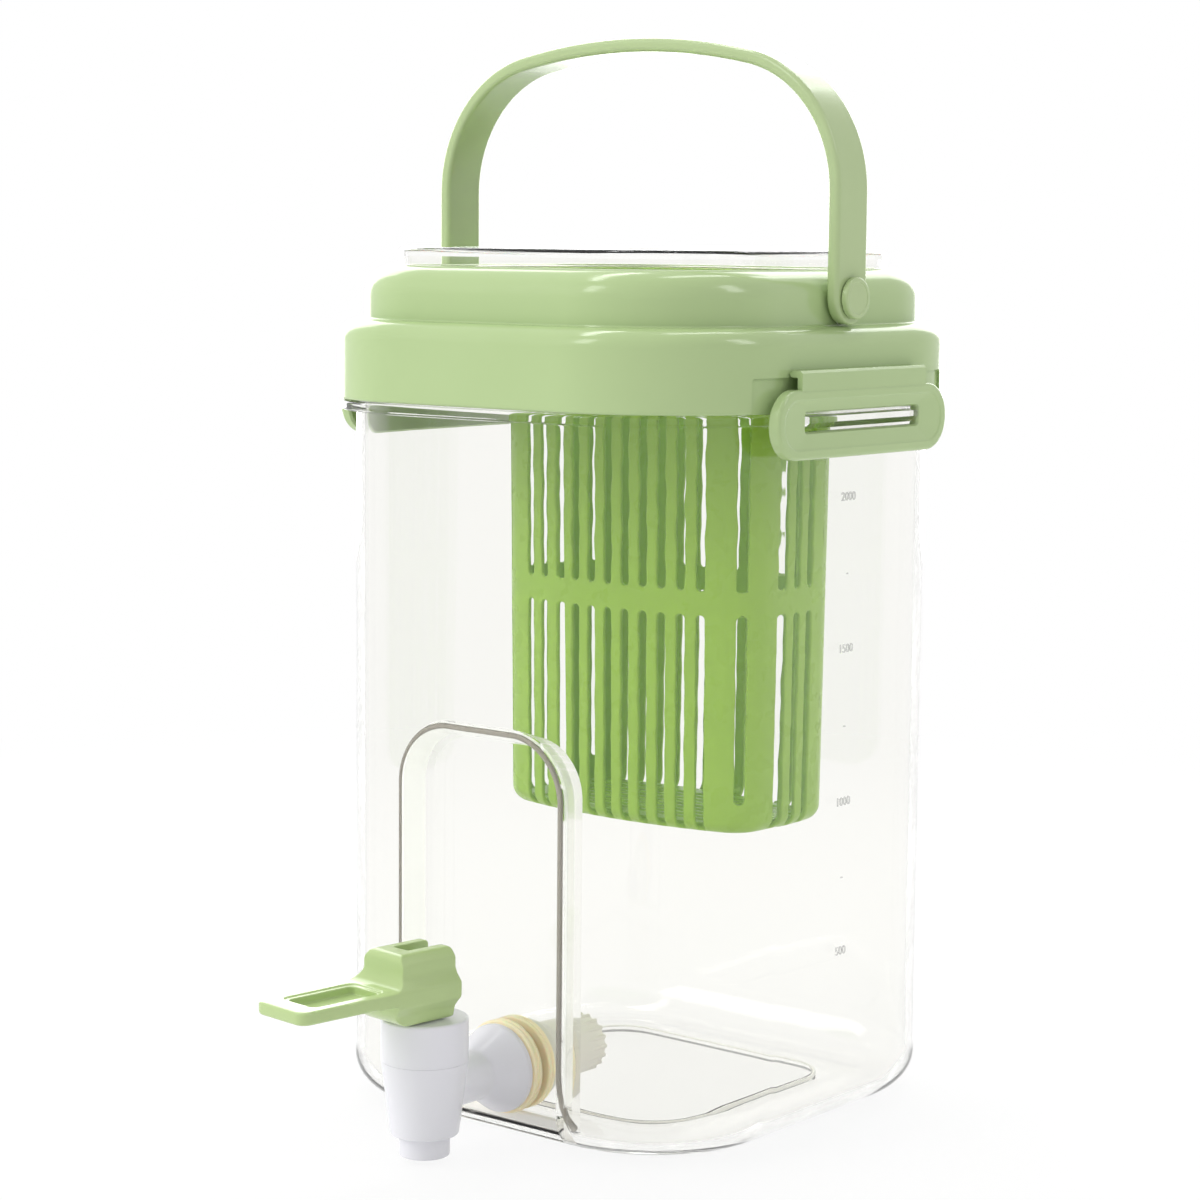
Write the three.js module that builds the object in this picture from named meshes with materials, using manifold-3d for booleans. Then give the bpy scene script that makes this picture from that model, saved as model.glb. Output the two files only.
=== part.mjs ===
// A clear square drink dispenser with a green lid, handle, side clasps, strainer basket and lever tap.
// Millimetres, +Z up. The front, with the tap, faces -Y, and the container stands on z = 0.
import * as THREE from "three";
import { mergeVertices } from "three/addons/utils/BufferGeometryUtils.js";
import Module from "manifold-3d";

const wasm = await Module();
wasm.setup();

// Shared clearances
const seatGap = 0.3;
const overrun = 4;
const cornerSteps = 6;
const edgeSteps = 4;
const roundSteps = 24;
const basketPasses = 6;
const ringSteps = 8;
const mergeDistance = 1e-4;

// Container
const bodyHalf = 62.5;
const bodyRadius = 38.5;
const bodyWall = 2.2;
const footFillet = 21;
const footSteps = 6;
const panelInset = 5.8;
const panelRise = 3.3;
const panelSlope = 1.2;
const flangeTop = 178.5;
const flangeThick = 2.5;
const flangeReach = 3.9;

// Arched recess in the container's front, where the tap stands
const recessHalf = 25.5;
const recessDepth = 8.5;
const recessTop = 101.7;
const recessCorner = 15;

// Catch lugs on the container's sides
const lugHalfLength = 23;
const lugReach = 3.6;
const lugHeight = 3.3;

// Lid
const lidReach = 3.5;
const lidCornerReach = 1.5;
const lidSkirtHeight = 19.85;
const lidSkirtRound = 5;
const crownInset = 6;
const crownCornerInset = 4.6;
const crownRound = 4;
const lidWall = 2.2;
const lidRoofThick = 1.8;
const neckClearance = 0.5;
const lidGasketThick = 2.65;
const wellWall = 8;
const wellDepth = 2.4;
const claspFlatDepth = 1.6;
const claspFlatHeight = 8.5;

// Clear cap in the lid's well
const capClearance = 0.5;
const capRise = 4.5;
const capWall = 2.2;
const capRound = 1.6;
const gasketThick = 1.2;
const gasketWidth = 2.6;

// Handle
const handleWidth = 12.8;
const handleThick = 3.4;
const handleRise = 63.2;
const handleCornerRound = 35;
const handleTopRound = 175;
const handleClearance = 0.6;
const handleFootGap = 0.25;

// Handle pins
const pinHeadRadius = 5;
const pinHeadThick = 1.6;
const pinRadius = 2;
const pinClearance = 0.1;
const pinBarb = 0.4;
const pinBarbLength = 1.3;
const pinBelowRoof = 2.5;

// Side clasps
const claspHalfLength = 35.3;
const claspOffsetY = -2.3;
const claspHeight = 16.5;
const claspEndFlat = 0.5;
const claspThick = 3.3;
const claspClearance = 0.5;
const claspHookHalfLength = 26;
const claspHookWall = 1.6;
const claspHookRise = 4.4;
const claspSlotGap = 0.5;
const claspSlotFloorGap = 0.7;

// Strainer basket, hung from the lid's roof
const basketOffsetX = 2;
const basketOffsetY = 8;
const basketSideInset = 10;
const basketHalfY = 25;
const basketCorner = 12;
const basketBowFront = 130;
const basketBowSide = 100;
const basketDraft = 1.6;
const basketWall = 2;
const basketDepth = 137.7;
const basketFootRound = 4;
const basketBandRise = 54.6;
const basketBandHeight = 6.1;
const basketFlangeReach = 3.4;
const basketFlangeThick = 1.4;
const basketClearance = 0.6;
const basketSlotWidth = 2.4;
const basketSlotMargin = 14.5;
const basketFrontSlots = 11;
const basketSidePitch = 5.5;
const basketSideSlots = 3;
const basketCornerSlotWidth = 3.2;
const basketSlotHead = 12;
const basketFloorSlotWidth = 1.6;
const basketFloorSlotPitch = 3.4;

// Tap
const tapOffsetX = 3;
const tapReach = 30.3;
const spoutBottom = 1.5;
const spoutRadius = 6.1;
const spoutHeight = 5.2;
const spoutBore = 4;
const coneBottomRadius = 8.2;
const tapRadius = 10.5;
const coneHeight = 18.1;
const bonnetHeight = 10.4;
const bonnetTopThick = 2;
const bonnetWall = 1.5;
const tapNeckWall = 1.9;
const valveSeatHeight = 8;
const neckRadius = 6;
const neckDrop = 1.8;
const flareLength = 7.5;
const flangeRadius = 10.9;
const tapFlangeThick = 1.5;
const shankRadius = 5.7;
const shankBore = 4;
const shankLength = 27;
const lugTabWidth = 3;

// Washers and nut on the tap's shank
const washerRadius = 11.6;
const washerThick = 2.6;
const wallHoleClearance = 0.5;
const nutFlangeRadius = 10.3;
const nutFlangeThick = 2.4;
const nutShoulderRadius = 8;
const nutShoulderLength = 5;
const nutTipRadius = 7.2;
const nutLength = 24;
const nutTeeth = 18;
const nutToothDepth = 0.7;
const nutToothLength = 9;
const toothTipShare = 0.5;
const toothRootShare = 0.2;

// Valve stem, plug, ring and spring
const stemRadius = 2.2;
const stemCollarThick = 4.6;
const stemHeadThick = 4.4;
const stemHeadHalfWidth = 3;
const plugHeight = 3.4;
const plugReach = 1.6;
const ringRadius = 0.9;
const springOuter = 4.6;
const springInner = 3.2;

// Lever
const leverTurn = THREE.MathUtils.degToRad(6.5);
const leverBack = 3.5;
const leverBlockLength = 9.5;
const leverBlockHalfWidth = 6.2;
const leverBlockHeight = 17.3;
const leverFootRound = 6.4;
const leverBrowRound = 3.6;
const leverFaceReach = 12.9;
const leverPadThick = 3.2;
const leverPadReach = 44.2;
const leverPadHalfWidth = 9.2;
const leverPadCorner = 2.8;
const leverSlotHalfWidth = 2.6;
const leverSlotReach = 7.5;
const leverWindowStart = 18.2;
const leverWindowLength = 19.3;
const leverWindowHalfWidth = 4.9;
const leverWindowCorner = 1.2;
const leverWindowFloor = 0.8;
const pivotAbovePadFoot = 2.1;
const leverPinRadius = 1.5;
const leverPinHalfLength = 4.8;

// Heights and places worked out from the driving dimensions
const innerHalf = bodyHalf - bodyWall;
const innerRadius = bodyRadius - bodyWall;
const panelHalf = bodyHalf - footFillet - panelInset;
const panelRadius = bodyRadius - footFillet - panelInset;
const flangeHalf = bodyHalf + flangeReach;
const flangeBottom = flangeTop - flangeThick;
const recessBack = recessDepth - bodyHalf;

const lidHalf = bodyHalf + lidReach;
const lidRadius = bodyRadius + lidCornerReach;
const skirtInner = bodyHalf + neckClearance;
const lidBottom = flangeTop + seatGap;
const lidStep = lidBottom + lidSkirtHeight;
const stepBottom = lidStep - lidWall;
const neckTop = stepBottom - seatGap - lidGasketThick - seatGap;
const crownHalf = lidHalf - crownInset;
const crownRadius = lidRadius - crownCornerInset;

const handlePivot = lidStep + handleFootGap + handleWidth / 2;
const handleInner = crownHalf + handleClearance;
const handleOuter = handleInner + handleThick;
const roofBottom = handlePivot + pinBelowRoof;
const roofTop = roofBottom + lidRoofThick;
const lidTop = roofTop + wellDepth;

const wellHalf = crownHalf - wellWall;
const wellRadius = crownRadius - wellWall;
const capHalf = wellHalf - capClearance;
const capRadius = wellRadius - capClearance;
const capGasketBottom = roofTop + seatGap;
const capGasketTop = capGasketBottom + gasketThick;
const capBottom = capGasketTop + seatGap;
const capTop = lidTop + capRise;

const claspRadius = (claspHeight - claspEndFlat) / 2;
const claspInner = flangeHalf + claspClearance;
const claspOuter = claspInner + claspThick;
const claspFlatTop = lidBottom + claspFlatHeight;
const claspHookTop = claspFlatTop + claspHookWall;
const claspTop = claspHookTop - claspHookRise;
const claspAxisX = lidHalf + seatGap + claspHookWall / 2;
const claspAxisZ = claspFlatTop + claspHookWall / 2;

const basketHalfX = wellHalf - basketSideInset;
const basketHang = roofTop + seatGap;
const basketRim = basketHang + basketFlangeThick;
const basketBottom = basketHang - basketDepth;
const basketBandBottom = basketBottom + basketBandRise;
const basketBandTop = basketBandBottom + basketBandHeight;
const basketSlotTop = roofBottom - basketSlotHead;
const basketSlotPitch = (2 * (basketHalfX - basketSlotMargin)) / (basketFrontSlots - 1);

const tapY = recessBack - tapReach;
const coneBottom = spoutBottom + spoutHeight;
const tapShoulder = coneBottom + coneHeight;
const bonnetTop = tapShoulder + bonnetHeight;
const bonnetUnder = bonnetTop - bonnetTopThick;
const tapNeckRadius = tapRadius - bonnetWall - seatGap;
const valveBore = tapNeckRadius - tapNeckWall;
const tapShankHeight = tapShoulder - neckDrop - neckRadius;
const flangeBack = tapReach - seatGap - washerThick - seatGap;

const shankHole = shankRadius + seatGap;
const outerWasherStart = flangeBack + seatGap;
const innerWasherStart = tapReach + bodyWall + seatGap;
const nutStart = innerWasherStart + washerThick + seatGap;
const nutEnd = nutStart + nutLength;

const plugBottom = spoutBottom + valveSeatHeight + seatGap;
const plugTop = plugBottom + plugHeight;
const stemCollarBottom = tapShankHeight + shankBore + seatGap;
const stemCollarTop = stemCollarBottom + stemCollarThick;
const stemRingHeight = (stemCollarBottom + stemCollarTop) / 2;

const leverFoot = bonnetTop + seatGap;
const leverPadFoot = leverFoot + leverFootRound;
const leverPadTop = leverPadFoot + leverPadThick;
const leverBlockTop = leverFoot + leverBlockHeight;
const leverNeckRound = leverBlockTop - leverBrowRound - leverPadTop;
const leverPivot = leverPadFoot + pivotAbovePadFoot;

// Materials
const clear = new THREE.MeshStandardMaterial({
  color: 0xe9eeee,
  roughness: 0.05,
  metalness: 0,
  transparent: true,
  opacity: 0.3,
});
const lidGreen = new THREE.MeshStandardMaterial({ color: 0xa9c383, roughness: 0.3, metalness: 0 });
const basketGreen = new THREE.MeshStandardMaterial({ color: 0x93bd60, roughness: 0.4, metalness: 0 });
const leverGreen = new THREE.MeshStandardMaterial({ color: 0xbcdc96, roughness: 0.35, metalness: 0 });
const white = new THREE.MeshStandardMaterial({ color: 0xe8e8ee, roughness: 0.35, metalness: 0 });
const silicone = new THREE.MeshStandardMaterial({ color: 0xeee4c6, roughness: 0.5, metalness: 0 });
const steel = new THREE.MeshStandardMaterial({ color: 0xb8bcc0, roughness: 0.3, metalness: 1 });

// Solids from geometries

function solidOf(geometry) {
  const bare = geometry.clone();
  bare.deleteAttribute("normal");
  bare.deleteAttribute("uv");
  const merged = mergeVertices(bare, mergeDistance);
  return new wasm.Manifold(
    new wasm.Mesh({
      numProp: 3,
      vertProperties: new Float32Array(merged.attributes.position.array),
      triVerts: new Uint32Array(merged.index.array),
    }),
  );
}

function meshOf(name, solid, material) {
  const made = solid.getMesh();
  const geometry = new THREE.BufferGeometry();
  geometry.setAttribute("position", new THREE.BufferAttribute(made.vertProperties, 3));
  geometry.setIndex(new THREE.BufferAttribute(made.triVerts, 1));
  geometry.computeVertexNormals();
  const mesh = new THREE.Mesh(geometry, material);
  mesh.name = name;
  return mesh;
}

function joined(solids) {
  return solids.reduce((all, one) => all.add(one));
}

// A box between two corners
function box(low, high) {
  const size = high.map((value, axis) => value - low[axis]);
  const centre = high.map((value, axis) => (value + low[axis]) / 2);
  return solidOf(new THREE.BoxGeometry(...size).translate(...centre));
}

// A shape drawn in X and Y, raised along Z
function raised(shape, bottom, top) {
  const options = { depth: top - bottom, bevelEnabled: false, curveSegments: cornerSteps };
  return solidOf(new THREE.ExtrudeGeometry(shape, options).translate(0, 0, bottom));
}

// A shape drawn in X and Z, run along Y
function alongY(shape, start, end) {
  const options = { depth: end - start, bevelEnabled: false, curveSegments: cornerSteps };
  const geometry = new THREE.ExtrudeGeometry(shape, options);
  return solidOf(geometry.rotateX(Math.PI / 2).translate(0, end, 0));
}

// A shape drawn in Y and Z, run along X
function alongX(shape, start, end) {
  const options = { depth: end - start, bevelEnabled: false, curveSegments: cornerSteps };
  const geometry = new THREE.ExtrudeGeometry(shape, options);
  return solidOf(geometry.rotateX(Math.PI / 2).rotateZ(Math.PI / 2).translate(start, 0, 0));
}

// A round solid about the Z axis from pairs of radius and height, lowest first
function turned(profile) {
  const points = profile.map(([radius, height]) => new THREE.Vector2(radius, height));
  return solidOf(new THREE.LatheGeometry(points, roundSteps).rotateX(Math.PI / 2));
}

// The same solid with its own axis along +X or +Y
function turnedAlongX(profile) {
  return turned(profile).rotate([0, 90, 0]);
}

function turnedAlongY(profile) {
  return turned(profile).rotate([-90, 0, 0]);
}

// A plain round bar between two heights
function bar(radius, bottom, top) {
  return turned([
    [0, bottom],
    [radius, bottom],
    [radius, top],
    [0, top],
  ]);
}

// A round ring of square section
function collar(inner, outer, bottom, top) {
  return turned([
    [inner, bottom],
    [outer, bottom],
    [outer, top],
    [inner, top],
    [inner, bottom],
  ]);
}

// The four corner arcs of a square with round corners, anticlockwise
function squareRing(half, radius, height) {
  const core = half - radius;
  const points = [];
  for (let quarter = 0; quarter < 4; quarter += 1) {
    const start = (quarter * Math.PI) / 2;
    const side = [
      Math.SQRT2 * core * Math.cos(start + Math.PI / 4),
      Math.SQRT2 * core * Math.sin(start + Math.PI / 4),
    ];
    for (let step = 0; step <= cornerSteps; step += 1) {
      const angle = start + (step / cornerSteps) * (Math.PI / 2);
      points.push([side[0] + radius * Math.cos(angle), side[1] + radius * Math.sin(angle), height]);
    }
  }
  return points;
}

// A closed skin through rings that all have the same number of points.
// The rings run outwards below, up the outside, and back inwards above.
function skin(rings, capped) {
  const count = rings[0].length;
  const positions = rings.flat(2);
  const faces = [];
  const last = rings.length - 1;
  const bands = capped ? last : rings.length;
  for (let band = 0; band < bands; band += 1) {
    const low = band * count;
    const high = ((band + 1) % rings.length) * count;
    for (let step = 0; step < count; step += 1) {
      const next = (step + 1) % count;
      faces.push(low + step, low + next, high + next);
      faces.push(low + step, high + next, high + step);
    }
  }
  if (capped) {
    const centreOf = (ring) => ring[0].map((_, axis) => ring.reduce((sum, p) => sum + p[axis], 0) / count);
    const first = positions.length / 3;
    positions.push(...centreOf(rings[0]), ...centreOf(rings[last]));
    for (let step = 0; step < count; step += 1) {
      const next = (step + 1) % count;
      faces.push(first, next, step);
      faces.push(first + 1, last * count + step, last * count + next);
    }
  }
  const geometry = new THREE.BufferGeometry();
  geometry.setAttribute("position", new THREE.BufferAttribute(new Float32Array(positions), 3));
  geometry.setIndex(faces);
  return solidOf(geometry);
}

// Rings round an outer top edge, from the wall up to the flat above it
function roundedTop(half, radius, top, edge) {
  const rings = [];
  for (let step = 0; step <= edgeSteps; step += 1) {
    const angle = (step / edgeSteps) * (Math.PI / 2);
    const inset = edge * (1 - Math.cos(angle));
    rings.push(squareRing(half - inset, radius - inset, top - edge + edge * Math.sin(angle)));
  }
  return rings;
}

// Rings up a foot fillet, from the flat foot to the wall
function footRings(half, radius, bottom, fillet) {
  const rings = [];
  for (let step = 0; step <= footSteps; step += 1) {
    const angle = (step / footSteps) * (Math.PI / 2);
    const inset = fillet * (1 - Math.sin(angle));
    rings.push(squareRing(half - inset, radius - inset, bottom + fillet * (1 - Math.cos(angle))));
  }
  return rings;
}

// A rectangle with round corners as a shape about a centre
function roundedRect(centre, halfWidth, halfHeight, radius) {
  const shape = new THREE.Shape();
  const [x, y] = centre;
  const insetX = halfWidth - radius;
  const insetY = halfHeight - radius;
  shape.absarc(x + insetX, y + insetY, radius, 0, Math.PI / 2, false);
  shape.absarc(x - insetX, y + insetY, radius, Math.PI / 2, Math.PI, false);
  shape.absarc(x - insetX, y - insetY, radius, Math.PI, 1.5 * Math.PI, false);
  shape.absarc(x + insetX, y - insetY, radius, 1.5 * Math.PI, 2 * Math.PI, false);
  shape.closePath();
  return shape;
}

// Container

// The arch of the recess, or the same arch grown by the wall
function recessArch(grown) {
  const half = recessHalf + grown;
  const radius = recessCorner + grown;
  const top = recessTop + grown;
  const shape = new THREE.Shape();
  shape.moveTo(-half, -overrun);
  shape.lineTo(half, -overrun);
  shape.absarc(half - radius, top - radius, radius, 0, Math.PI / 2, false);
  shape.absarc(radius - half, top - radius, radius, Math.PI / 2, Math.PI, false);
  shape.closePath();
  return shape;
}

function container() {
  const front = -bodyHalf - overrun;
  const slopeHalf = panelHalf + panelSlope;
  const slopeRadius = panelRadius + panelSlope;
  const flangeRing = (height) => squareRing(flangeHalf, bodyRadius + flangeReach, height);
  const outside = skin(
    [
      squareRing(panelHalf, panelRadius, panelRise),
      squareRing(slopeHalf, slopeRadius, 0),
      ...footRings(bodyHalf, bodyRadius, 0, footFillet),
      squareRing(bodyHalf, bodyRadius, flangeBottom),
      flangeRing(flangeBottom),
      flangeRing(flangeTop),
      squareRing(bodyHalf, bodyRadius, flangeTop),
      squareRing(bodyHalf, bodyRadius, neckTop),
    ],
    true,
  );
  const inside = skin(
    [
      squareRing(panelHalf, panelRadius, bodyWall + panelRise),
      squareRing(slopeHalf, slopeRadius, bodyWall),
      ...footRings(innerHalf, innerRadius, bodyWall, footFillet - bodyWall),
      squareRing(innerHalf, innerRadius, neckTop + overrun),
    ],
    true,
  );
  const hollow = inside.subtract(alongY(recessArch(bodyWall), front, recessBack + bodyWall));
  const lug = box(
    [bodyHalf - bodyWall / 2, -lugHalfLength, flangeTop - lugHeight],
    [flangeHalf + lugReach, lugHalfLength, flangeTop],
  ).translate([0, claspOffsetY, 0]);
  const holeRadius = shankRadius + wallHoleClearance;
  const hole = turnedAlongY([
    [0, front],
    [holeRadius, front],
    [holeRadius, 0],
    [0, 0],
  ]).translate([tapOffsetX, 0, tapShankHeight]);
  return outside
    .add(lug)
    .add(lug.mirror([1, 0, 0]))
    .subtract(alongY(recessArch(0), front, recessBack))
    .subtract(hollow)
    .subtract(hole);
}

// Lid

function lidRing() {
  const skirtRadius = lidRadius - (lidHalf - skirtInner);
  const crownInner = crownHalf - lidWall;
  const crownInnerRadius = crownRadius - lidWall;
  const shell = skin(
    [
      squareRing(crownInner, crownInnerRadius, roofBottom),
      squareRing(crownInner, crownInnerRadius, stepBottom),
      squareRing(skirtInner, skirtRadius, stepBottom),
      squareRing(skirtInner, skirtRadius, lidBottom),
      squareRing(lidHalf, lidRadius, lidBottom),
      ...roundedTop(lidHalf, lidRadius, lidStep, lidSkirtRound),
      squareRing(crownHalf, crownRadius, lidStep),
      ...roundedTop(crownHalf, crownRadius, lidTop, crownRound),
      squareRing(wellHalf, wellRadius, lidTop),
      squareRing(wellHalf, wellRadius, roofTop),
    ],
    true,
  );
  const mouth = basketSolid(basketClearance, basketClearance, roofBottom - overrun, roofTop + overrun);
  const flat = box(
    [lidHalf - claspFlatDepth, -lidHalf, lidBottom - overrun],
    [lidHalf + overrun, lidHalf, claspFlatTop],
  );
  const holeRadius = pinRadius + pinClearance;
  const pinHole = turnedAlongX([
    [0, crownInner - overrun],
    [holeRadius, crownInner - overrun],
    [holeRadius, crownHalf + overrun],
    [0, crownHalf + overrun],
  ]).translate([0, 0, handlePivot]);
  return shell
    .subtract(mouth)
    .subtract(flat)
    .subtract(flat.mirror([1, 0, 0]))
    .subtract(pinHole)
    .subtract(pinHole.mirror([1, 0, 0]));
}

function lidGasket() {
  const bottom = neckTop + seatGap;
  const top = stepBottom - seatGap;
  const inner = innerHalf - seatGap;
  return squareGasket(inner, innerRadius - seatGap, bodyWall + seatGap, bottom, top);
}

// A flat ring that follows a square with round corners
function squareGasket(inner, innerCorner, width, bottom, top) {
  return skin(
    [
      squareRing(inner, innerCorner, bottom),
      squareRing(inner + width, innerCorner + width, bottom),
      squareRing(inner + width, innerCorner + width, top),
      squareRing(inner, innerCorner, top),
    ],
    false,
  );
}

function capGasket() {
  const inner = capHalf - gasketWidth;
  return squareGasket(inner, capRadius - gasketWidth, gasketWidth, capGasketBottom, capGasketTop);
}

function topCap() {
  const innerCap = capHalf - capWall;
  const innerCapRadius = capRadius - capWall;
  return skin(
    [
      squareRing(innerCap, innerCapRadius, capTop - capWall),
      squareRing(innerCap, innerCapRadius, capBottom),
      squareRing(capHalf, capRadius, capBottom),
      ...roundedTop(capHalf, capRadius, capTop, capRound),
    ],
    true,
  );
}

// Strainer basket

// Points round the basket: four bowed sides that run smoothly into round corners
function basketRing(grow, height) {
  const halfX = basketHalfX + grow;
  const halfY = basketHalfY + grow;
  const corner = basketCorner + grow;
  const bowFront = basketBowFront + grow;
  const bowSide = basketBowSide + grow;
  let cornerX = halfX - corner;
  let cornerY = halfY - corner;
  for (let pass = 0; pass < basketPasses; pass += 1) {
    cornerY = halfY - bowFront + Math.sqrt((bowFront - corner) ** 2 - cornerX ** 2);
    cornerX = halfX - bowSide + Math.sqrt((bowSide - corner) ** 2 - cornerY ** 2);
  }
  const frontAngle = Math.asin(cornerX / (bowFront - corner));
  const sideAngle = Math.asin(cornerY / (bowSide - corner));
  const arcs = [
    [halfX - bowSide, 0, bowSide, -sideAngle, sideAngle],
    [cornerX, cornerY, corner, sideAngle, Math.PI / 2 - frontAngle],
    [0, halfY - bowFront, bowFront, Math.PI / 2 - frontAngle, Math.PI / 2 + frontAngle],
    [-cornerX, cornerY, corner, Math.PI / 2 + frontAngle, Math.PI - sideAngle],
    [bowSide - halfX, 0, bowSide, Math.PI - sideAngle, Math.PI + sideAngle],
    [-cornerX, -cornerY, corner, Math.PI + sideAngle, 1.5 * Math.PI - frontAngle],
    [0, bowFront - halfY, bowFront, 1.5 * Math.PI - frontAngle, 1.5 * Math.PI + frontAngle],
    [cornerX, -cornerY, corner, 1.5 * Math.PI + frontAngle, 2 * Math.PI - sideAngle],
  ];
  return arcs.flatMap(([x, y, radius, start, end]) => {
    const points = [];
    for (let step = 0; step < edgeSteps; step += 1) {
      const angle = start + (step / edgeSteps) * (end - start);
      points.push([
        basketOffsetX + x + radius * Math.cos(angle),
        basketOffsetY + y + radius * Math.sin(angle),
        height,
      ]);
    }
    return points;
  });
}

function basketSolid(growBottom, growTop, bottom, top) {
  return skin([basketRing(growBottom, bottom), basketRing(growTop, top)], true);
}

function basket() {
  const shell = (inset, bottom, round, top) => {
    const rings = [];
    for (let step = 0; step <= edgeSteps; step += 1) {
      const angle = (step / edgeSteps) * (Math.PI / 2);
      const pull = round * (1 - Math.sin(angle));
      rings.push(basketRing(-basketDraft - inset - pull, bottom + round * (1 - Math.cos(angle))));
    }
    rings.push(basketRing(-inset, top));
    return skin(rings, true);
  };
  const outside = shell(0, basketBottom, basketFootRound, basketHang);
  const innerRound = basketFootRound - basketWall;
  const inside = shell(basketWall, basketBottom + basketWall, innerRound, basketRim + overrun);
  const flange = basketSolid(basketFlangeReach, basketFlangeReach, basketHang, basketRim);
  return outside.add(flange).subtract(inside).subtract(joined(basketSlots()));
}

// Wall slots in two tiers, and fine slots across the floor
function basketSlots() {
  const tiers = [
    [basketBottom - overrun, basketBandBottom],
    [basketBandTop, basketSlotTop],
  ];
  const reach = basketWall + basketFootRound + basketDraft;
  const slots = [];
  const cut = (width, start, bottom, top) =>
    box([-width / 2, start, bottom], [width / 2, start + reach + overrun, top]);
  for (const [bottom, top] of tiers) {
    for (let place = 0; place < basketFrontSlots; place += 1) {
      const x = (place - (basketFrontSlots - 1) / 2) * basketSlotPitch;
      const start = basketHalfY - reach;
      slots.push(cut(basketSlotWidth, start, bottom, top).translate([x, 0, 0]));
      slots.push(cut(basketSlotWidth, start, bottom, top).rotate([0, 0, 180]).translate([x, 0, 0]));
    }
    for (let place = 0; place < basketSideSlots; place += 1) {
      const y = (place - (basketSideSlots - 1) / 2) * basketSidePitch;
      const start = basketHalfX - reach;
      slots.push(cut(basketSlotWidth, start, bottom, top).rotate([0, 0, 90]).translate([0, y, 0]));
      slots.push(cut(basketSlotWidth, start, bottom, top).rotate([0, 0, -90]).translate([0, y, 0]));
    }
    for (const sideX of [1, -1]) {
      for (const sideY of [1, -1]) {
        const turn = sideY > 0 ? -sideX * 45 : 180 + sideX * 45;
        const foot = Math.max(bottom, basketBottom + reach);
        const slot = cut(basketCornerSlotWidth, basketCorner - reach, foot, top);
        const x = sideX * (basketHalfX - basketCorner);
        const y = sideY * (basketHalfY - basketCorner);
        slots.push(slot.rotate([0, 0, turn]).translate([x, y, 0]));
      }
    }
  }
  const floorHalfX = basketHalfX - reach - basketSlotPitch;
  const floorHalfY = basketHalfY - reach - basketWall;
  const floorCount = Math.floor(floorHalfY / basketFloorSlotPitch);
  for (let place = -floorCount; place <= floorCount; place += 1) {
    const y = place * basketFloorSlotPitch;
    slots.push(
      box(
        [-floorHalfX, y - basketFloorSlotWidth / 2, basketBottom - overrun],
        [floorHalfX, y + basketFloorSlotWidth / 2, basketBottom + basketWall + overrun],
      ),
    );
  }
  return slots.map((slot) => slot.translate([basketOffsetX, basketOffsetY, 0]));
}

// Handle and its pins

function handle() {
  const cornerX = handleOuter - handleCornerRound;
  const turn = Math.asin(cornerX / (handleTopRound - handleCornerRound));
  const topZ = handlePivot + handleRise - handleTopRound;
  const cornerZ = topZ + (handleTopRound - handleCornerRound) * Math.cos(turn);
  const start = Math.PI / 2 - turn;
  const end = Math.PI / 2 + turn;
  const arch = new THREE.Shape();
  arch.moveTo(handleInner, handlePivot);
  arch.lineTo(handleOuter, handlePivot);
  arch.absarc(cornerX, cornerZ, handleCornerRound, 0, start, false);
  arch.absarc(0, topZ, handleTopRound, start, end, false);
  arch.absarc(-cornerX, cornerZ, handleCornerRound, end, Math.PI, false);
  arch.lineTo(-handleOuter, handlePivot);
  arch.lineTo(-handleInner, handlePivot);
  arch.absarc(-cornerX, cornerZ, handleCornerRound - handleThick, Math.PI, end, true);
  arch.absarc(0, topZ, handleTopRound - handleThick, end, start, true);
  arch.absarc(cornerX, cornerZ, handleCornerRound - handleThick, start, 0, true);
  arch.closePath();
  const foot = turnedAlongX([
    [0, handleInner],
    [handleWidth / 2, handleInner],
    [handleWidth / 2, handleOuter],
    [0, handleOuter],
  ]).translate([0, 0, handlePivot]);
  const holeRadius = pinRadius + pinClearance;
  const hole = turnedAlongX([
    [0, -handleOuter - overrun],
    [holeRadius, -handleOuter - overrun],
    [holeRadius, handleOuter + overrun],
    [0, handleOuter + overrun],
  ]).translate([0, 0, handlePivot]);
  return alongY(arch, -handleWidth / 2, handleWidth / 2)
    .add(foot)
    .add(foot.mirror([1, 0, 0]))
    .subtract(hole);
}

function handlePin() {
  const seat = handleOuter + seatGap;
  const barbEnd = crownHalf - lidWall - seatGap;
  const tip = barbEnd - pinBarbLength;
  return turnedAlongX([
    [0, tip],
    [pinRadius, tip],
    [pinRadius + pinBarb, barbEnd],
    [pinRadius, barbEnd],
    [pinRadius, seat],
    [pinHeadRadius, seat],
    [pinHeadRadius, seat + pinHeadThick / 2],
    [pinHeadRadius - pinHeadThick / 2, seat + pinHeadThick],
    [0, seat + pinHeadThick],
  ]).translate([0, 0, handlePivot]);
}

// Clasps

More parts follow.
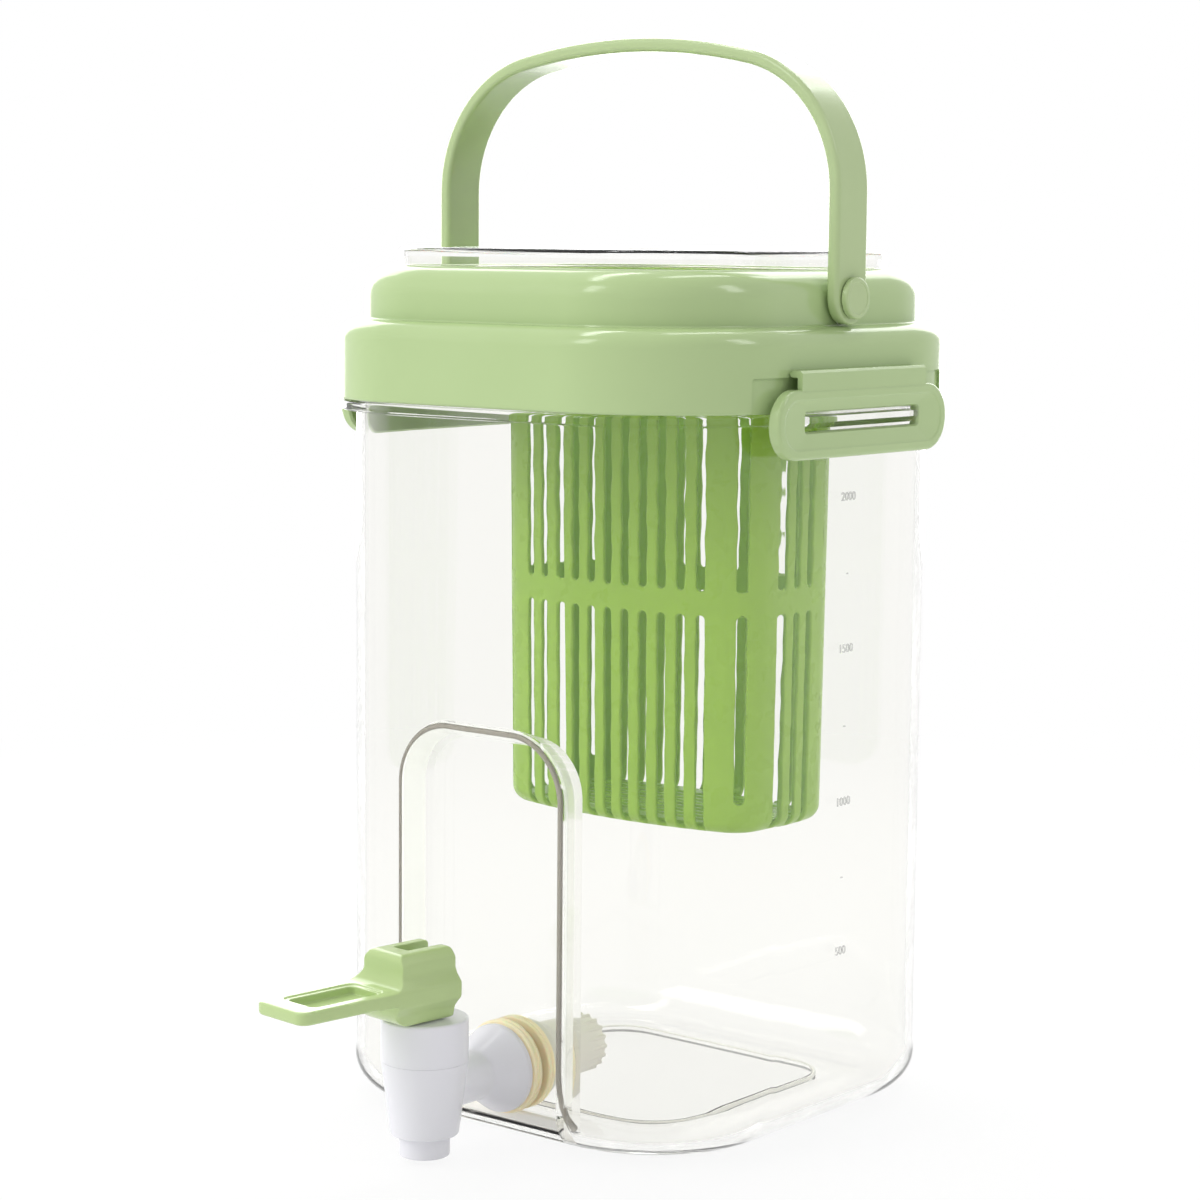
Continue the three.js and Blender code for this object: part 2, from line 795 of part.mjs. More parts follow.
function clasp() {
  const halfHeight = claspHeight / 2;
  const plateShape = roundedRect([0, claspTop - halfHeight], claspHalfLength, halfHeight, claspRadius);
  const plate = alongX(plateShape, claspInner, claspOuter);
  const wall = box(
    [claspOuter - claspHookWall, -claspHookHalfLength, claspTop - claspHookWall],
    [claspOuter, claspHookHalfLength, claspHookTop],
  );
  const ledge = box(
    [claspAxisX, -claspHookHalfLength, claspFlatTop],
    [claspOuter, claspHookHalfLength, claspHookTop],
  );
  const bead = turnedAlongY([
    [0, -claspHookHalfLength],
    [claspHookWall / 2, -claspHookHalfLength],
    [claspHookWall / 2, claspHookHalfLength],
    [0, claspHookHalfLength],
  ]).translate([claspAxisX, 0, claspAxisZ]);
  const slot = box(
    [claspInner - overrun, -lugHalfLength - claspSlotGap, flangeTop - lugHeight - claspSlotFloorGap],
    [claspOuter + overrun, lugHalfLength + claspSlotGap, flangeTop + claspSlotGap],
  );
  return joined([plate, wall, ledge, bead]).subtract(slot).translate([0, claspOffsetY, 0]);
}

// Tap: its axis is at x = 0, y = 0 here, and the whole group is moved to its place

function tapBody() {
  const barrel = turned([
    [0, spoutBottom],
    [spoutRadius, spoutBottom],
    [spoutRadius, coneBottom],
    [coneBottomRadius, coneBottom],
    [tapRadius, tapShoulder],
    [tapNeckRadius, tapShoulder],
    [tapNeckRadius, bonnetUnder - seatGap],
    [0, bonnetUnder - seatGap],
  ]);
  const flareStart = flangeBack - tapFlangeThick - flareLength;
  const shank = turnedAlongY([
    [0, 0],
    [neckRadius, 0],
    [neckRadius, flareStart],
    [flangeRadius, flangeBack - tapFlangeThick],
    [flangeRadius, flangeBack],
    [shankRadius, flangeBack],
    [shankRadius, flangeBack + shankLength],
    [0, flangeBack + shankLength],
  ]).translate([0, 0, tapShankHeight]);
  const tabReach = tapRadius + lugTabWidth;
  const tab = box([-lugTabWidth / 2, 0, tapShankHeight], [lugTabWidth / 2, tabReach, tapShoulder]);
  const bore = bar(valveBore, spoutBottom + valveSeatHeight, bonnetTop);
  const outlet = bar(spoutBore, spoutBottom - overrun, spoutBottom + valveSeatHeight + overrun);
  const inlet = turnedAlongY([
    [0, 0],
    [shankBore, 0],
    [shankBore, flangeBack + shankLength + overrun],
    [0, flangeBack + shankLength + overrun],
  ]).translate([0, 0, tapShankHeight]);
  return joined([barrel, shank, tab]).subtract(joined([bore, outlet, inlet]));
}

function tapBonnet() {
  const inner = tapRadius - bonnetWall;
  const hole = stemRadius + seatGap;
  return turned([
    [inner, tapShoulder + seatGap],
    [tapRadius, tapShoulder + seatGap],
    [tapRadius, bonnetTop],
    [hole, bonnetTop],
    [hole, bonnetUnder],
    [inner, bonnetUnder],
    [inner, tapShoulder + seatGap],
  ]);
}

function valvePlug() {
  return collar(stemRadius + seatGap, spoutBore + plugReach, plugBottom, plugTop);
}

function stemRing() {
  const torus = new THREE.TorusGeometry(valveBore - seatGap - ringRadius, ringRadius, ringSteps, roundSteps);
  return solidOf(torus.translate(0, 0, stemRingHeight));
}

function tapSpring() {
  return collar(springInner, springOuter, stemCollarTop + seatGap, bonnetUnder - seatGap);
}

// Stem, lever and pin: drawn with the lever's pad towards -Y, then turned together

function tapStem() {
  const collarRadius = valveBore - seatGap;
  const groove = ringRadius + seatGap;
  const rod = turned([
    [0, plugBottom],
    [stemRadius, plugBottom],
    [stemRadius, plugTop + seatGap],
    [spoutBore, plugTop + seatGap],
    [stemRadius, plugTop + spoutBore],
    [stemRadius, stemCollarBottom],
    [collarRadius, stemCollarBottom],
    [collarRadius, stemRingHeight - groove],
    [collarRadius - groove - ringRadius, stemRingHeight - groove],
    [collarRadius - groove - ringRadius, stemRingHeight + groove],
    [collarRadius, stemRingHeight + groove],
    [collarRadius, stemCollarTop],
    [stemRadius, stemCollarTop],
    [stemRadius, leverPivot + stemHeadHalfWidth],
    [0, leverPivot + stemHeadHalfWidth],
  ]);
  const headShape = new THREE.Shape();
  headShape.absarc(0, leverPivot, stemHeadHalfWidth, 0, 2 * Math.PI, false);
  const head = alongX(headShape, -stemHeadThick / 2, stemHeadThick / 2);
  const holeRadius = leverPinRadius + pinClearance;
  const hole = turnedAlongX([
    [0, -leverPinHalfLength - overrun],
    [holeRadius, -leverPinHalfLength - overrun],
    [holeRadius, leverPinHalfLength + overrun],
    [0, leverPinHalfLength + overrun],
  ]).translate([0, 0, leverPivot]);
  return rod.add(head).subtract(hole);
}

// The block's side view: flat foot, round toe, hollow throat above the pad and a round brow
function leverSide() {
  const shape = new THREE.Shape();
  const toeY = -leverBlockLength;
  const browY = leverBrowRound - leverFaceReach;
  const throatY = -leverFaceReach - leverNeckRound;
  const throatZ = leverPadTop + leverNeckRound;
  shape.moveTo(leverBack, leverFoot);
  shape.lineTo(leverBack, leverBlockTop);
  shape.lineTo(browY, leverBlockTop);
  shape.absarc(browY, leverBlockTop - leverBrowRound, leverBrowRound, Math.PI / 2, Math.PI, false);
  shape.absarc(throatY, throatZ, leverNeckRound, 0, -Math.PI / 2, true);
  shape.lineTo(throatY, leverPadFoot);
  shape.lineTo(toeY - leverFootRound, leverPadFoot);
  shape.absarc(toeY, leverFoot + leverFootRound, leverFootRound, Math.PI, 1.5 * Math.PI, false);
  shape.closePath();
  return shape;
}

function tapLever() {
  const block = alongX(leverSide(), -leverBlockHalfWidth, leverBlockHalfWidth);
  const padHalfLength = (leverPadReach + leverBack) / 2;
  const padCentre = leverBack - padHalfLength;
  const padShape = roundedRect([0, padCentre], leverPadHalfWidth, padHalfLength, leverPadCorner);
  const pad = raised(padShape, leverPadFoot, leverPadTop);
  const windowShape = roundedRect(
    [0, -leverWindowStart - leverWindowLength / 2],
    leverWindowHalfWidth,
    leverWindowLength / 2,
    leverWindowCorner,
  );
  const opening = raised(windowShape, leverPadFoot + leverWindowFloor, leverPadTop + overrun);
  const slot = box(
    [-leverSlotHalfWidth, -leverSlotReach, leverFoot - overrun],
    [leverSlotHalfWidth, leverBack + overrun, leverBlockTop + overrun],
  );
  const pinEnd = leverPinHalfLength + seatGap;
  const pinHole = turnedAlongX([
    [0, -pinEnd],
    [leverPinRadius + pinClearance, -pinEnd],
    [leverPinRadius + pinClearance, pinEnd],
    [0, pinEnd],
  ]).translate([0, 0, leverPivot]);
  return block.add(pad).subtract(opening).subtract(slot).subtract(pinHole);
}

function leverPin() {
  return turnedAlongX([
    [0, -leverPinHalfLength],
    [leverPinRadius, -leverPinHalfLength],
    [leverPinRadius, leverPinHalfLength],
    [0, leverPinHalfLength],
  ]).translate([0, 0, leverPivot]);
}

// Washers and nut, about the shank's axis

function washer(start) {
  return collar(shankHole, washerRadius, start, start + washerThick)
    .rotate([-90, 0, 0])
    .translate([0, 0, tapShankHeight]);
}

function tapNut() {
  const sleeve = turned([
    [shankHole, nutStart],
    [nutFlangeRadius, nutStart],
    [nutFlangeRadius, nutStart + nutFlangeThick],
    [nutShoulderRadius, nutStart + nutFlangeThick + nutShoulderLength],
    [nutTipRadius, nutEnd],
    [shankHole, nutEnd],
    [shankHole, nutStart],
  ]);
  return sleeve
    .intersect(toothedBar(nutStart, nutEnd).add(bar(nutFlangeRadius, nutStart, nutEnd - nutToothLength)))
    .rotate([-90, 0, 0])
    .translate([0, 0, tapShankHeight]);
}

// A bar with teeth round it, each with a flat tip between two sloping flanks
function toothedBar(bottom, top) {
  const step = Math.PI / nutTeeth;
  const tip = nutShoulderRadius + nutToothDepth;
  const root = nutTipRadius - nutToothDepth;
  const corner = (radius, shares) => {
    const angle = shares * step;
    return new THREE.Vector2(radius * Math.cos(angle), radius * Math.sin(angle));
  };
  const points = [];
  for (let tooth = 0; tooth < nutTeeth; tooth += 1) {
    const tipMiddle = 2 * tooth;
    const rootMiddle = tipMiddle + 1;
    points.push(corner(tip, tipMiddle - toothTipShare));
    points.push(corner(tip, tipMiddle + toothTipShare));
    points.push(corner(root, rootMiddle - toothRootShare));
    points.push(corner(root, rootMiddle + toothRootShare));
  }
  return raised(new THREE.Shape(points), bottom, top);
}

// Assembly

const dispenser = new THREE.Group();
dispenser.add(meshOf("container", container(), clear));
dispenser.add(meshOf("lid_ring", lidRing(), lidGreen));
dispenser.add(meshOf("lid_gasket", lidGasket(), silicone));
dispenser.add(meshOf("cap_gasket", capGasket(), silicone));
dispenser.add(meshOf("top_cap", topCap(), clear));
dispenser.add(meshOf("strainer_basket", basket(), basketGreen));
dispenser.add(meshOf("handle", handle(), lidGreen));

const sides = { right: 1, left: -1 };
for (const [side, sign] of Object.entries(sides)) {
  const pin = handlePin();
  const flap = clasp();
  dispenser.add(meshOf("handle_pin_" + side, sign > 0 ? pin : pin.mirror([1, 0, 0]), lidGreen));
  dispenser.add(meshOf("clasp_" + side, sign > 0 ? flap : flap.mirror([1, 0, 0]), lidGreen));
}

const tap = new THREE.Group();
tap.position.set(tapOffsetX, tapY, 0);
tap.add(meshOf("tap_body", tapBody(), white));
tap.add(meshOf("tap_bonnet", tapBonnet(), white));
tap.add(meshOf("valve_plug", valvePlug(), silicone));
tap.add(meshOf("stem_ring", stemRing(), silicone));
tap.add(meshOf("tap_spring", tapSpring(), steel));
tap.add(meshOf("outer_washer", washer(outerWasherStart), silicone));
tap.add(meshOf("inner_washer", washer(innerWasherStart), silicone));
tap.add(meshOf("tap_nut", tapNut(), white));

const leverGroup = new THREE.Group();
leverGroup.rotation.z = -leverTurn;
leverGroup.add(meshOf("tap_stem", tapStem(), white));
leverGroup.add(meshOf("tap_lever", tapLever(), leverGreen));
leverGroup.add(meshOf("lever_pin", leverPin(), steel));
tap.add(leverGroup);
dispenser.add(tap);

// The origin is under the middle of the whole object's outline
const outline = new THREE.Box3().setFromObject(dispenser, true);
const middle = outline.getCenter(new THREE.Vector3());
dispenser.position.set(-middle.x, -middle.y, 0);

export default dispenser;
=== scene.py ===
import math

import bmesh
import bpy
from mathutils import Matrix, Vector
from mathutils.geometry import tessellate_polygon


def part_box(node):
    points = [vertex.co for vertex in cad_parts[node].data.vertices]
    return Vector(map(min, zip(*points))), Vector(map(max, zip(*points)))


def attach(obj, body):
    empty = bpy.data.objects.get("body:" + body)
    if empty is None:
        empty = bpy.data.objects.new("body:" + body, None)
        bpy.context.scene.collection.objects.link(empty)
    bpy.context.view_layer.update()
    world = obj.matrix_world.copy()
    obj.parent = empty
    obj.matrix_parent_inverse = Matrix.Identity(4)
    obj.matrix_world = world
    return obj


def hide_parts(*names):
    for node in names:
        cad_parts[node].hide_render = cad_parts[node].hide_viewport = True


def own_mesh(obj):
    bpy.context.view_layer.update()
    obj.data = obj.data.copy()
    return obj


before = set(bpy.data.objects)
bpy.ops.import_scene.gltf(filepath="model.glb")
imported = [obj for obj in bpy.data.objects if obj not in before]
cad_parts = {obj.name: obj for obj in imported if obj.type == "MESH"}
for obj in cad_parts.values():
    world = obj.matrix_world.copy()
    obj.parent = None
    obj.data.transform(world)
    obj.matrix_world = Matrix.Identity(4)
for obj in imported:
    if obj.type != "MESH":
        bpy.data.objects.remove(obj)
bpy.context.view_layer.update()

# Sizes are in millimetres about the container's own middle.
# They become metres in the frame when a piece is made.
MM = 0.001
lid_low, lid_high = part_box("lid_ring")
middle = Vector(((lid_low.x + lid_high.x) / 2, (lid_low.y + lid_high.y) / 2, 0)) / MM
whole = Matrix.Scale(MM, 4) @ Matrix.Translation(middle)
tap_x, tap_y, lever_turn = 3, -84.3, -6.5
tap_place = whole @ Matrix.Translation((tap_x, tap_y, 0))
lever_place = tap_place @ Matrix.Rotation(math.radians(lever_turn), 4, "Z")

# Container
body_half, body_radius, foot_round, wall = 62.5, 38.5, 20.5, 2.2
flange_half, flange_radius, flange_low, flange_top, neck_top = 66.4, 42.4, 176, 178.5, 193.2
recess_half, recess_corner, recess_top, recess_back, recess_draft = 25.4, 15, 100.3, -54, 3.2
lug_half, lug_reach, lug_low = 23, 70, 175.2

# Lid, clasps, cap and handle. Each clasp hangs on a web at web_x and web_z.
lid_half, lid_radius, lid_bottom, lid_step = 66, 40, 178.8, 198.65
crown_half, crown_radius, crown_top = 60, 35.4, 212
well_half, well_radius, roof_low, roof_top = 52, 27.4, 207.8, 209.6
clasp_middle, clasp_level, clasp_half_y, clasp_half_z, clasp_corner = -2.3, 176.25, 35.3, 8.25, 8
web_x, web_z = 67.1, 188.1
cap_half, cap_radius, cap_low, cap_top = 51.5, 26.9, 211.4, 216.5
pivot, handle_mid, handle_half, handle_width = 205.3, 62.3, 1.7, 6.4
handle_corner, handle_arch, handle_rise, pin_hole_radius = 33.3, 173.3, 61.5, 2.1

# Basket
basket_x, basket_y = 2, 8
basket_half_x, basket_half_y, basket_corner, bow_front, bow_side = 42, 25, 12, 130, 100
basket_low, basket_hang, basket_rim, basket_foot = 72.2, 209.9, 211.3, 4
basket_draft, basket_wall, bar_depth = 1.6, 2, 1.2
band_low, band_high, slot_top = 126.8, 132.9, 195.8

# Tap, in its own place: the axis of its barrel is at x = 0, y = 0
shank_z, flange_back, shank_end, lever_pin_z = 17, 27.1, 54.1, 44
outer_washer_y, inner_washer_y, nut_y, nut_end = 27.4, 32.8, 35.7, 59.7


# Outlines and rings

def filleted(points, closed=True, steps=6):
    """Rounds the corners of points (a, b, fillet, extra values), and carries the extra values along."""
    made = []
    for place, point in enumerate(points):
        here = Vector(point[:2])
        if point[2] <= 0 or (not closed and place in (0, len(points) - 1)):
            made.append((*here, *point[3:]))
            continue
        before, after = points[place - 1], points[(place + 1) % len(points)]
        back, on = Vector(before[:2]) - here, Vector(after[:2]) - here
        half = back.angle(on) / 2
        reach = min(point[2] / math.tan(half), back.length * 0.49, on.length * 0.49)
        radius = reach * math.tan(half)
        centre = here + (back.normalized() + on.normalized()).normalized() * (radius / math.sin(half))
        start, end = here + back.normalized() * reach - centre, here + on.normalized() * reach - centre
        sweep = math.copysign(start.angle(end), start.cross(end))
        first = [v + (w - v) * reach / back.length for v, w in zip(point[3:], before[3:])]
        last = [v + (w - v) * reach / on.length for v, w in zip(point[3:], after[3:])]
        for step in range(steps + 1):
            share = step / steps
            turned = Matrix.Rotation(sweep * share, 2) @ start + centre
            made.append((*turned, *[v + (w - v) * share for v, w in zip(first, last)]))
    return made


def square_ring(half, radius, height, steps=20):
    """A square with round corners, anticlockwise."""
    core = half - radius
    ring = []
    for quarter in range(4):
        for step in range(steps + 1):
            angle = (quarter + step / steps) * math.pi / 2
            side = quarter * math.pi / 2 + math.pi / 4
            x = math.sqrt(2) * core * math.cos(side) + radius * math.cos(angle)
            y = math.sqrt(2) * core * math.sin(side) + radius * math.sin(angle)
            ring.append((x, y, height))
    return ring


def round_rect(half_x, half_y, radius, centre=(0, 0), steps=8):
    corners = [(1, -1), (1, 1), (-1, 1), (-1, -1)]
    points = [(centre[0] + sx * half_x, centre[1] + sy * half_y, radius) for sx, sy in corners]
    return [Vector(point) for point in filleted(points, steps=steps)]


# Meshes in millimetres: a list of points and a list of faces

def joined(*parts):
    points, faces = [], []
    for more_points, more_faces in parts:
        start = len(points)
        points += more_points
        faces += [[start + corner for corner in face] for face in more_faces]
    return points, faces


def loft(rings, ends="flat"):
    """A skin through rings with the same count of points. Its ends are flat faces, or it closes on itself."""
    count = len(rings[0])
    points = [point for ring in rings for point in ring]
    faces = []
    bands = len(rings) if ends == "closed" else len(rings) - 1
    for band in range(bands):
        low, high = band * count, (band + 1) % len(rings) * count
        for step in range(count):
            on = (step + 1) % count
            faces.append([low + step, low + on, high + on, high + step])
    if ends == "flat":
        faces.append(list(range(count))[::-1])
        faces.append(list(range((len(rings) - 1) * count, len(rings) * count)))
    return points, faces


def square_loft(profile, closed=False, steps=6):
    """profile has (half width, height, fillet, corner radius)."""
    rings = [square_ring(half, radius, height) for half, height, radius in filleted(profile, closed, steps)]
    return loft(rings, "closed" if closed else "flat")


def turned(profile, axis="Z", closed=True, steps=96, fillets=5):
    """A round solid from (radius, distance along the axis, fillet)."""
    rings = []
    for radius, along in filleted(profile, closed, fillets):
        ring = []
        for step in range(steps):
            angle = 2 * math.pi * step / steps
            a, b = radius * math.cos(angle), radius * math.sin(angle)
            ring.append({"Z": (a, b, along), "Y": (b, along, a), "X": (along, a, b)}[axis])
        rings.append(ring)
    return loft(rings, "closed" if closed else "flat")


def on_seam(point, seam):
    return any(abs(point.x - end) < 1e-6 for end in seam)


def inset(loop, distance, seam=()):
    """The loop moved towards its own left, which is where the material lies."""
    moved = []
    for place, point in enumerate(loop):
        before = (point - loop[place - 1]).normalized()
        after = (loop[(place + 1) % len(loop)] - point).normalized()
        if on_seam(point, seam):
            flat = after if abs(after.y) < abs(before.y) else before
            moved.append(point + Vector((0, flat.x)) * distance)
            continue
        first, second = Vector((-before.y, before.x)), Vector((-after.y, after.x))
        moved.append(point + (first + second) / (1 + first.dot(second)) * distance)
    return moved


def plate(loops, low, high, edge, steps=4, seam=()):
    """A flat plate between low and high with edges rounded by edge.

    The first loop is its outline and the rest are holes, clockwise. A seam is two values of x: the outline's
    two ends there are left open, to be joined to each other."""
    sections = []
    for step in range(steps + 1):
        angle = step / steps * math.pi / 2
        sections.append((edge * (1 - math.sin(angle)), edge * (1 - math.cos(angle))))
    levels = [(pull, low + rise) for pull, rise in sections]
    levels += [(pull, high - rise) for pull, rise in sections[::-1]]
    points, faces, starts = [], [], []
    for pull, level in levels:
        starts.append([])
        for loop in loops:
            starts[-1].append(len(points))
            points += [(point.x, point.y, level) for point in inset(loop, pull, seam)]
    for floor, ceiling in zip(starts, starts[1:]):
        for loop, down, up in zip(loops, floor, ceiling):
            for step, point in enumerate(loop):
                on = (step + 1) % len(loop)
                if on_seam(point, seam) and abs(point.x - loop[on].x) < 1e-6:
                    continue
                faces.append([down + step, down + on, up + on, up + step])
    counts = sum(len(loop) for loop in loops)
    for first, up in ((starts[0][0], False), (starts[-1][0], True)):
        flats = [Vector((*points[start][:2], 0)) for start in range(first, first + counts)]
        groups, place = [], 0
        for loop in loops:
            groups.append(flats[place:place + len(loop)])
            place += len(loop)
        for a, b, c in tessellate_polygon(groups):
            p, q, r = (flats[corner].xy for corner in (a, b, c))
            if ((q - p).cross(r - p) > 0) != up:
                b, c = c, b
            faces.append([first + a, first + b, first + c])
    return points, faces


def prism(outline, low, high, axis):
    """An outline run straight along an axis: X takes (y, z), Y takes (x, z) and Z takes (x, y)."""
    def at(a, b, along):
        return {"X": (along, a, b), "Y": (a, along, b), "Z": (a, b, along)}[axis]

    return loft([[at(p[0], p[1], low) for p in outline], [at(p[0], p[1], high) for p in outline]])


def rod(radius, start, end, axis="Z", steps=96, fillet=0):
    ends = [(0.01, start, 0), (radius, start, fillet), (radius, end, fillet), (0.01, end, 0)]
    return turned(ends, axis, False, steps)


def shifted(part, x=0, y=0, z=0):
    return [(p[0] + x, p[1] + y, p[2] + z) for p in part[0]], part[1]


def flipped(part, side):
    """The part as it is for side 1, and its mirror image for side -1."""
    return [(p[0] * side, p[1], p[2]) for p in part[0]], part[1]


# Objects

def made(name, part, place=whole):
    mesh = bpy.data.meshes.new(name)
    mesh.from_pydata([tuple(point) for point in part[0]], [], part[1])
    work = bmesh.new()
    work.from_mesh(mesh)
    bmesh.ops.remove_doubles(work, verts=work.verts, dist=1e-4)
    bmesh.ops.dissolve_degenerate(work, edges=work.edges, dist=1e-5)
    bmesh.ops.recalc_face_normals(work, faces=work.faces)
    bmesh.ops.transform(work, matrix=place, verts=work.verts)
    work.to_mesh(mesh)
    work.free()
    piece = bpy.data.objects.new(name, mesh)
    bpy.context.scene.collection.objects.link(piece)
    return piece


def settled(piece):
    """Turns what the modifiers make into the piece's own plain mesh."""
    graph = bpy.context.evaluated_depsgraph_get()
    mesh = bpy.data.meshes.new_from_object(piece.evaluated_get(graph), depsgraph=graph)
    piece.modifiers.clear()
    piece.data = mesh
    return piece


def shaped(piece, operation, *tools):
    for tool in tools:
        change = piece.modifiers.new("shape", "BOOLEAN")
        change.operation = operation
        change.solver = "EXACT"
        change.object = tool
    settled(piece)
    for tool in tools:
        bpy.data.objects.remove(tool)
    return piece


def softened(piece, width, angle=40, segments=3):
    edge = piece.modifiers.new("edge", "BEVEL")
    edge.width = width * MM
    edge.segments = segments
    edge.limit_method = "ANGLE"
    edge.angle_limit = math.radians(angle)
    edge.miter_outer = "MITER_ARC"
    return settled(piece)


def moulded(piece, voxel, passes):
    """Melts hard edges together, as in a soft moulding."""
    melt = piece.modifiers.new("melt", "REMESH")
    melt.mode = "VOXEL"
    melt.voxel_size = voxel * MM
    even = piece.modifiers.new("even", "SMOOTH")
    even.iterations = passes
    even.factor = 0.5
    return settled(piece)


def dressed(piece, body, finish, replaced=(), sharp=38, weighted=True):
    """Smooth faces, a finish, and the CAD body that the piece moves with."""
    for face in piece.data.polygons:
        face.use_smooth = True
    piece.data.set_sharp_from_angle(angle=math.radians(sharp))
    if weighted:
        normals = piece.modifiers.new("normals", "WEIGHTED_NORMAL")
        normals.keep_sharp = True
        settled(piece)
    piece.data.materials.clear()
    piece.data.materials.append(finish)
    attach(piece, body)
    if replaced:
        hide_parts(*replaced)
    return piece


# Node trees. An input is fed with a plain value, another node's socket, or a Value, which holds a socket.

class Graph:
    def __init__(self, tree):
        self.tree = tree

    def node(self, kind, settings=None, inputs=None):
        fresh = self.tree.nodes.new(kind if "Node" in kind else "GeometryNode" + kind)
        for key, value in (settings or {}).items():
            setattr(fresh, key, value)
        for key, value in (inputs or {}).items():
            value = getattr(value, "socket", value)
            if isinstance(value, bpy.types.NodeSocket):
                self.tree.links.new(value, fresh.inputs[key])
            else:
                fresh.inputs[key].default_value = value
        return fresh


class Pattern(Graph):
    """Geometry Nodes with named sizes, which make a repeated form."""
    SOCKETS = {int: "NodeSocketInt", float: "NodeSocketFloat"}

    def __init__(self, name, **sizes):
        super().__init__(bpy.data.node_groups.new(name, "GeometryNodeTree"))
        self.tree.interface.new_socket("Geometry", in_out="OUTPUT", socket_type="NodeSocketGeometry")
        self.sizes = {}
        for key, value in sizes.items():
            kind = self.SOCKETS[type(value)]
            socket = self.tree.interface.new_socket(key, in_out="INPUT", socket_type=kind)
            socket.default_value = value
            self.sizes[key] = socket.identifier
        self.inputs = self.tree.nodes.new("NodeGroupInput")
        self.end = self.tree.nodes.new("NodeGroupOutput")

    def size(self, key):
        return self.inputs.outputs[key]

    def sums(self, operation, a, b):
        return self.node("ShaderNodeMath", {"operation": operation}, {0: a, 1: b}).outputs[0]

    def vector(self, x=0.0, y=0.0, z=0.0):
        return self.node("ShaderNodeCombineXYZ", None, {"X": x, "Y": y, "Z": z}).outputs[0]

    def swept(self, line, section):
        """A solid bar along a line."""
        return self.node("CurveToMesh", None, {
            "Curve": line.outputs[0], "Profile Curve": section.outputs[0], "Fill Caps": True})

    def repeated(self, points, form):
        return self.node("InstanceOnPoints", None, {"Points": points.outputs[0], "Instance": form.outputs[0]})

    def finished(self, geometry, finish):
        real = self.node("RealizeInstances", None, {"Geometry": geometry.outputs[0]})
        coat = self.node("SetMaterial", None, {"Geometry": real.outputs[0], "Material": finish})
        self.tree.links.new(coat.outputs[0], self.end.inputs[0])

    def grown(self, name, place, **sizes):
        """Runs the tree once and keeps its result as a plain mesh in its place."""
        piece = bpy.data.objects.new(name, bpy.data.meshes.new(name))
        bpy.context.scene.collection.objects.link(piece)
        maker = piece.modifiers.new("pattern", "NODES")
        maker.node_group = self.tree
        for key, value in sizes.items():
            maker[self.sizes[key]] = value
        settled(piece)
        piece.data.transform(place)
        return piece


class Value:
    """A socket in a finish. Sums with it add their own Math nodes."""

    def __init__(self, finish, socket):
        self.finish, self.socket = finish, socket

    def sums(self, operation, other):
        maths = self.finish.node("ShaderNodeMath", {"operation": operation}, {0: self, 1: other})
        return Value(self.finish, maths.outputs[0])

    def __add__(self, other):
        return self.sums("ADD", other)

    def __mul__(self, other):
        return self.sums("MULTIPLY", other)

    def highest(self, other):
        return self.sums("MAXIMUM", other)


class Finish(Graph):
    def __init__(self, name, **constants):
        self.material = bpy.data.materials.new(name)
        self.material.use_nodes = True
        super().__init__(self.material.node_tree)
        self.shader = self.tree.nodes["Principled BSDF"]
        for key, value in constants.items():
            self.shader.inputs[key.replace("_", " ")].default_value = value

    def noise(self, scale, detail=2.0, stretch=(1, 1, 1)):
        place = self.node("ShaderNodeTexCoord").outputs["Object"]
        fit = self.node("ShaderNodeMapping", None, {"Vector": place, "Scale": stretch})
        grain = self.node("ShaderNodeTexNoise", None, {
            "Vector": fit.outputs[0], "Scale": scale, "Detail": detail})
        return Value(self, grain.outputs["Fac"])

    def mix(self, share, first, second):
        blend = self.node("ShaderNodeMix", {"data_type": "RGBA"}, {"Factor": share, 6: first, 7: second})
        return Value(self, blend.outputs[2])

    def set(self, key, value):
        self.tree.links.new(value.socket, self.shader.inputs[key])

    def bump(self, height, strength, distance):
        relief = self.node("ShaderNodeBump", None, {
            "Strength": strength, "Distance": distance, "Height": height})
        self.set("Normal", Value(self, relief.outputs[0]))


def linear(red, green, blue):
    """A colour as it is seen, from 0 to 255, as the shader's own numbers."""
    return tuple(((c / 255 + 0.055) / 1.055) ** 2.4 for c in (red, green, blue)) + (1,)


def moulded_plastic(name, colour, shade, roughness, ripple=0.04, **constants):
    """Solid moulded plastic: slow drifts of colour, fine grain, and a little waviness of the surface."""
    finish = Finish(name, **constants)
    drift = finish.noise(26, 3)
    finish.set("Base Color", finish.mix(drift, linear(*colour), linear(*shade)))
    scuff = finish.noise(160, 4)
    finish.set("Roughness", scuff * 0.10 + (roughness - 0.05))
    finish.bump(finish.noise(34, 1) + finish.noise(1500, 2) * 0.05, ripple, 0.002)
    return finish.material


def grained(name, drift, colours, grain, spread, roughness, detail=2, **constants):
    """A plain finish: a drift between two colours, and a roughness with grain."""
    finish = Finish(name, **constants)
    finish.set("Base Color", finish.mix(finish.noise(drift, 2), *colours))
    finish.set("Roughness", finish.noise(grain, detail) * spread + roughness)
    return finish.material


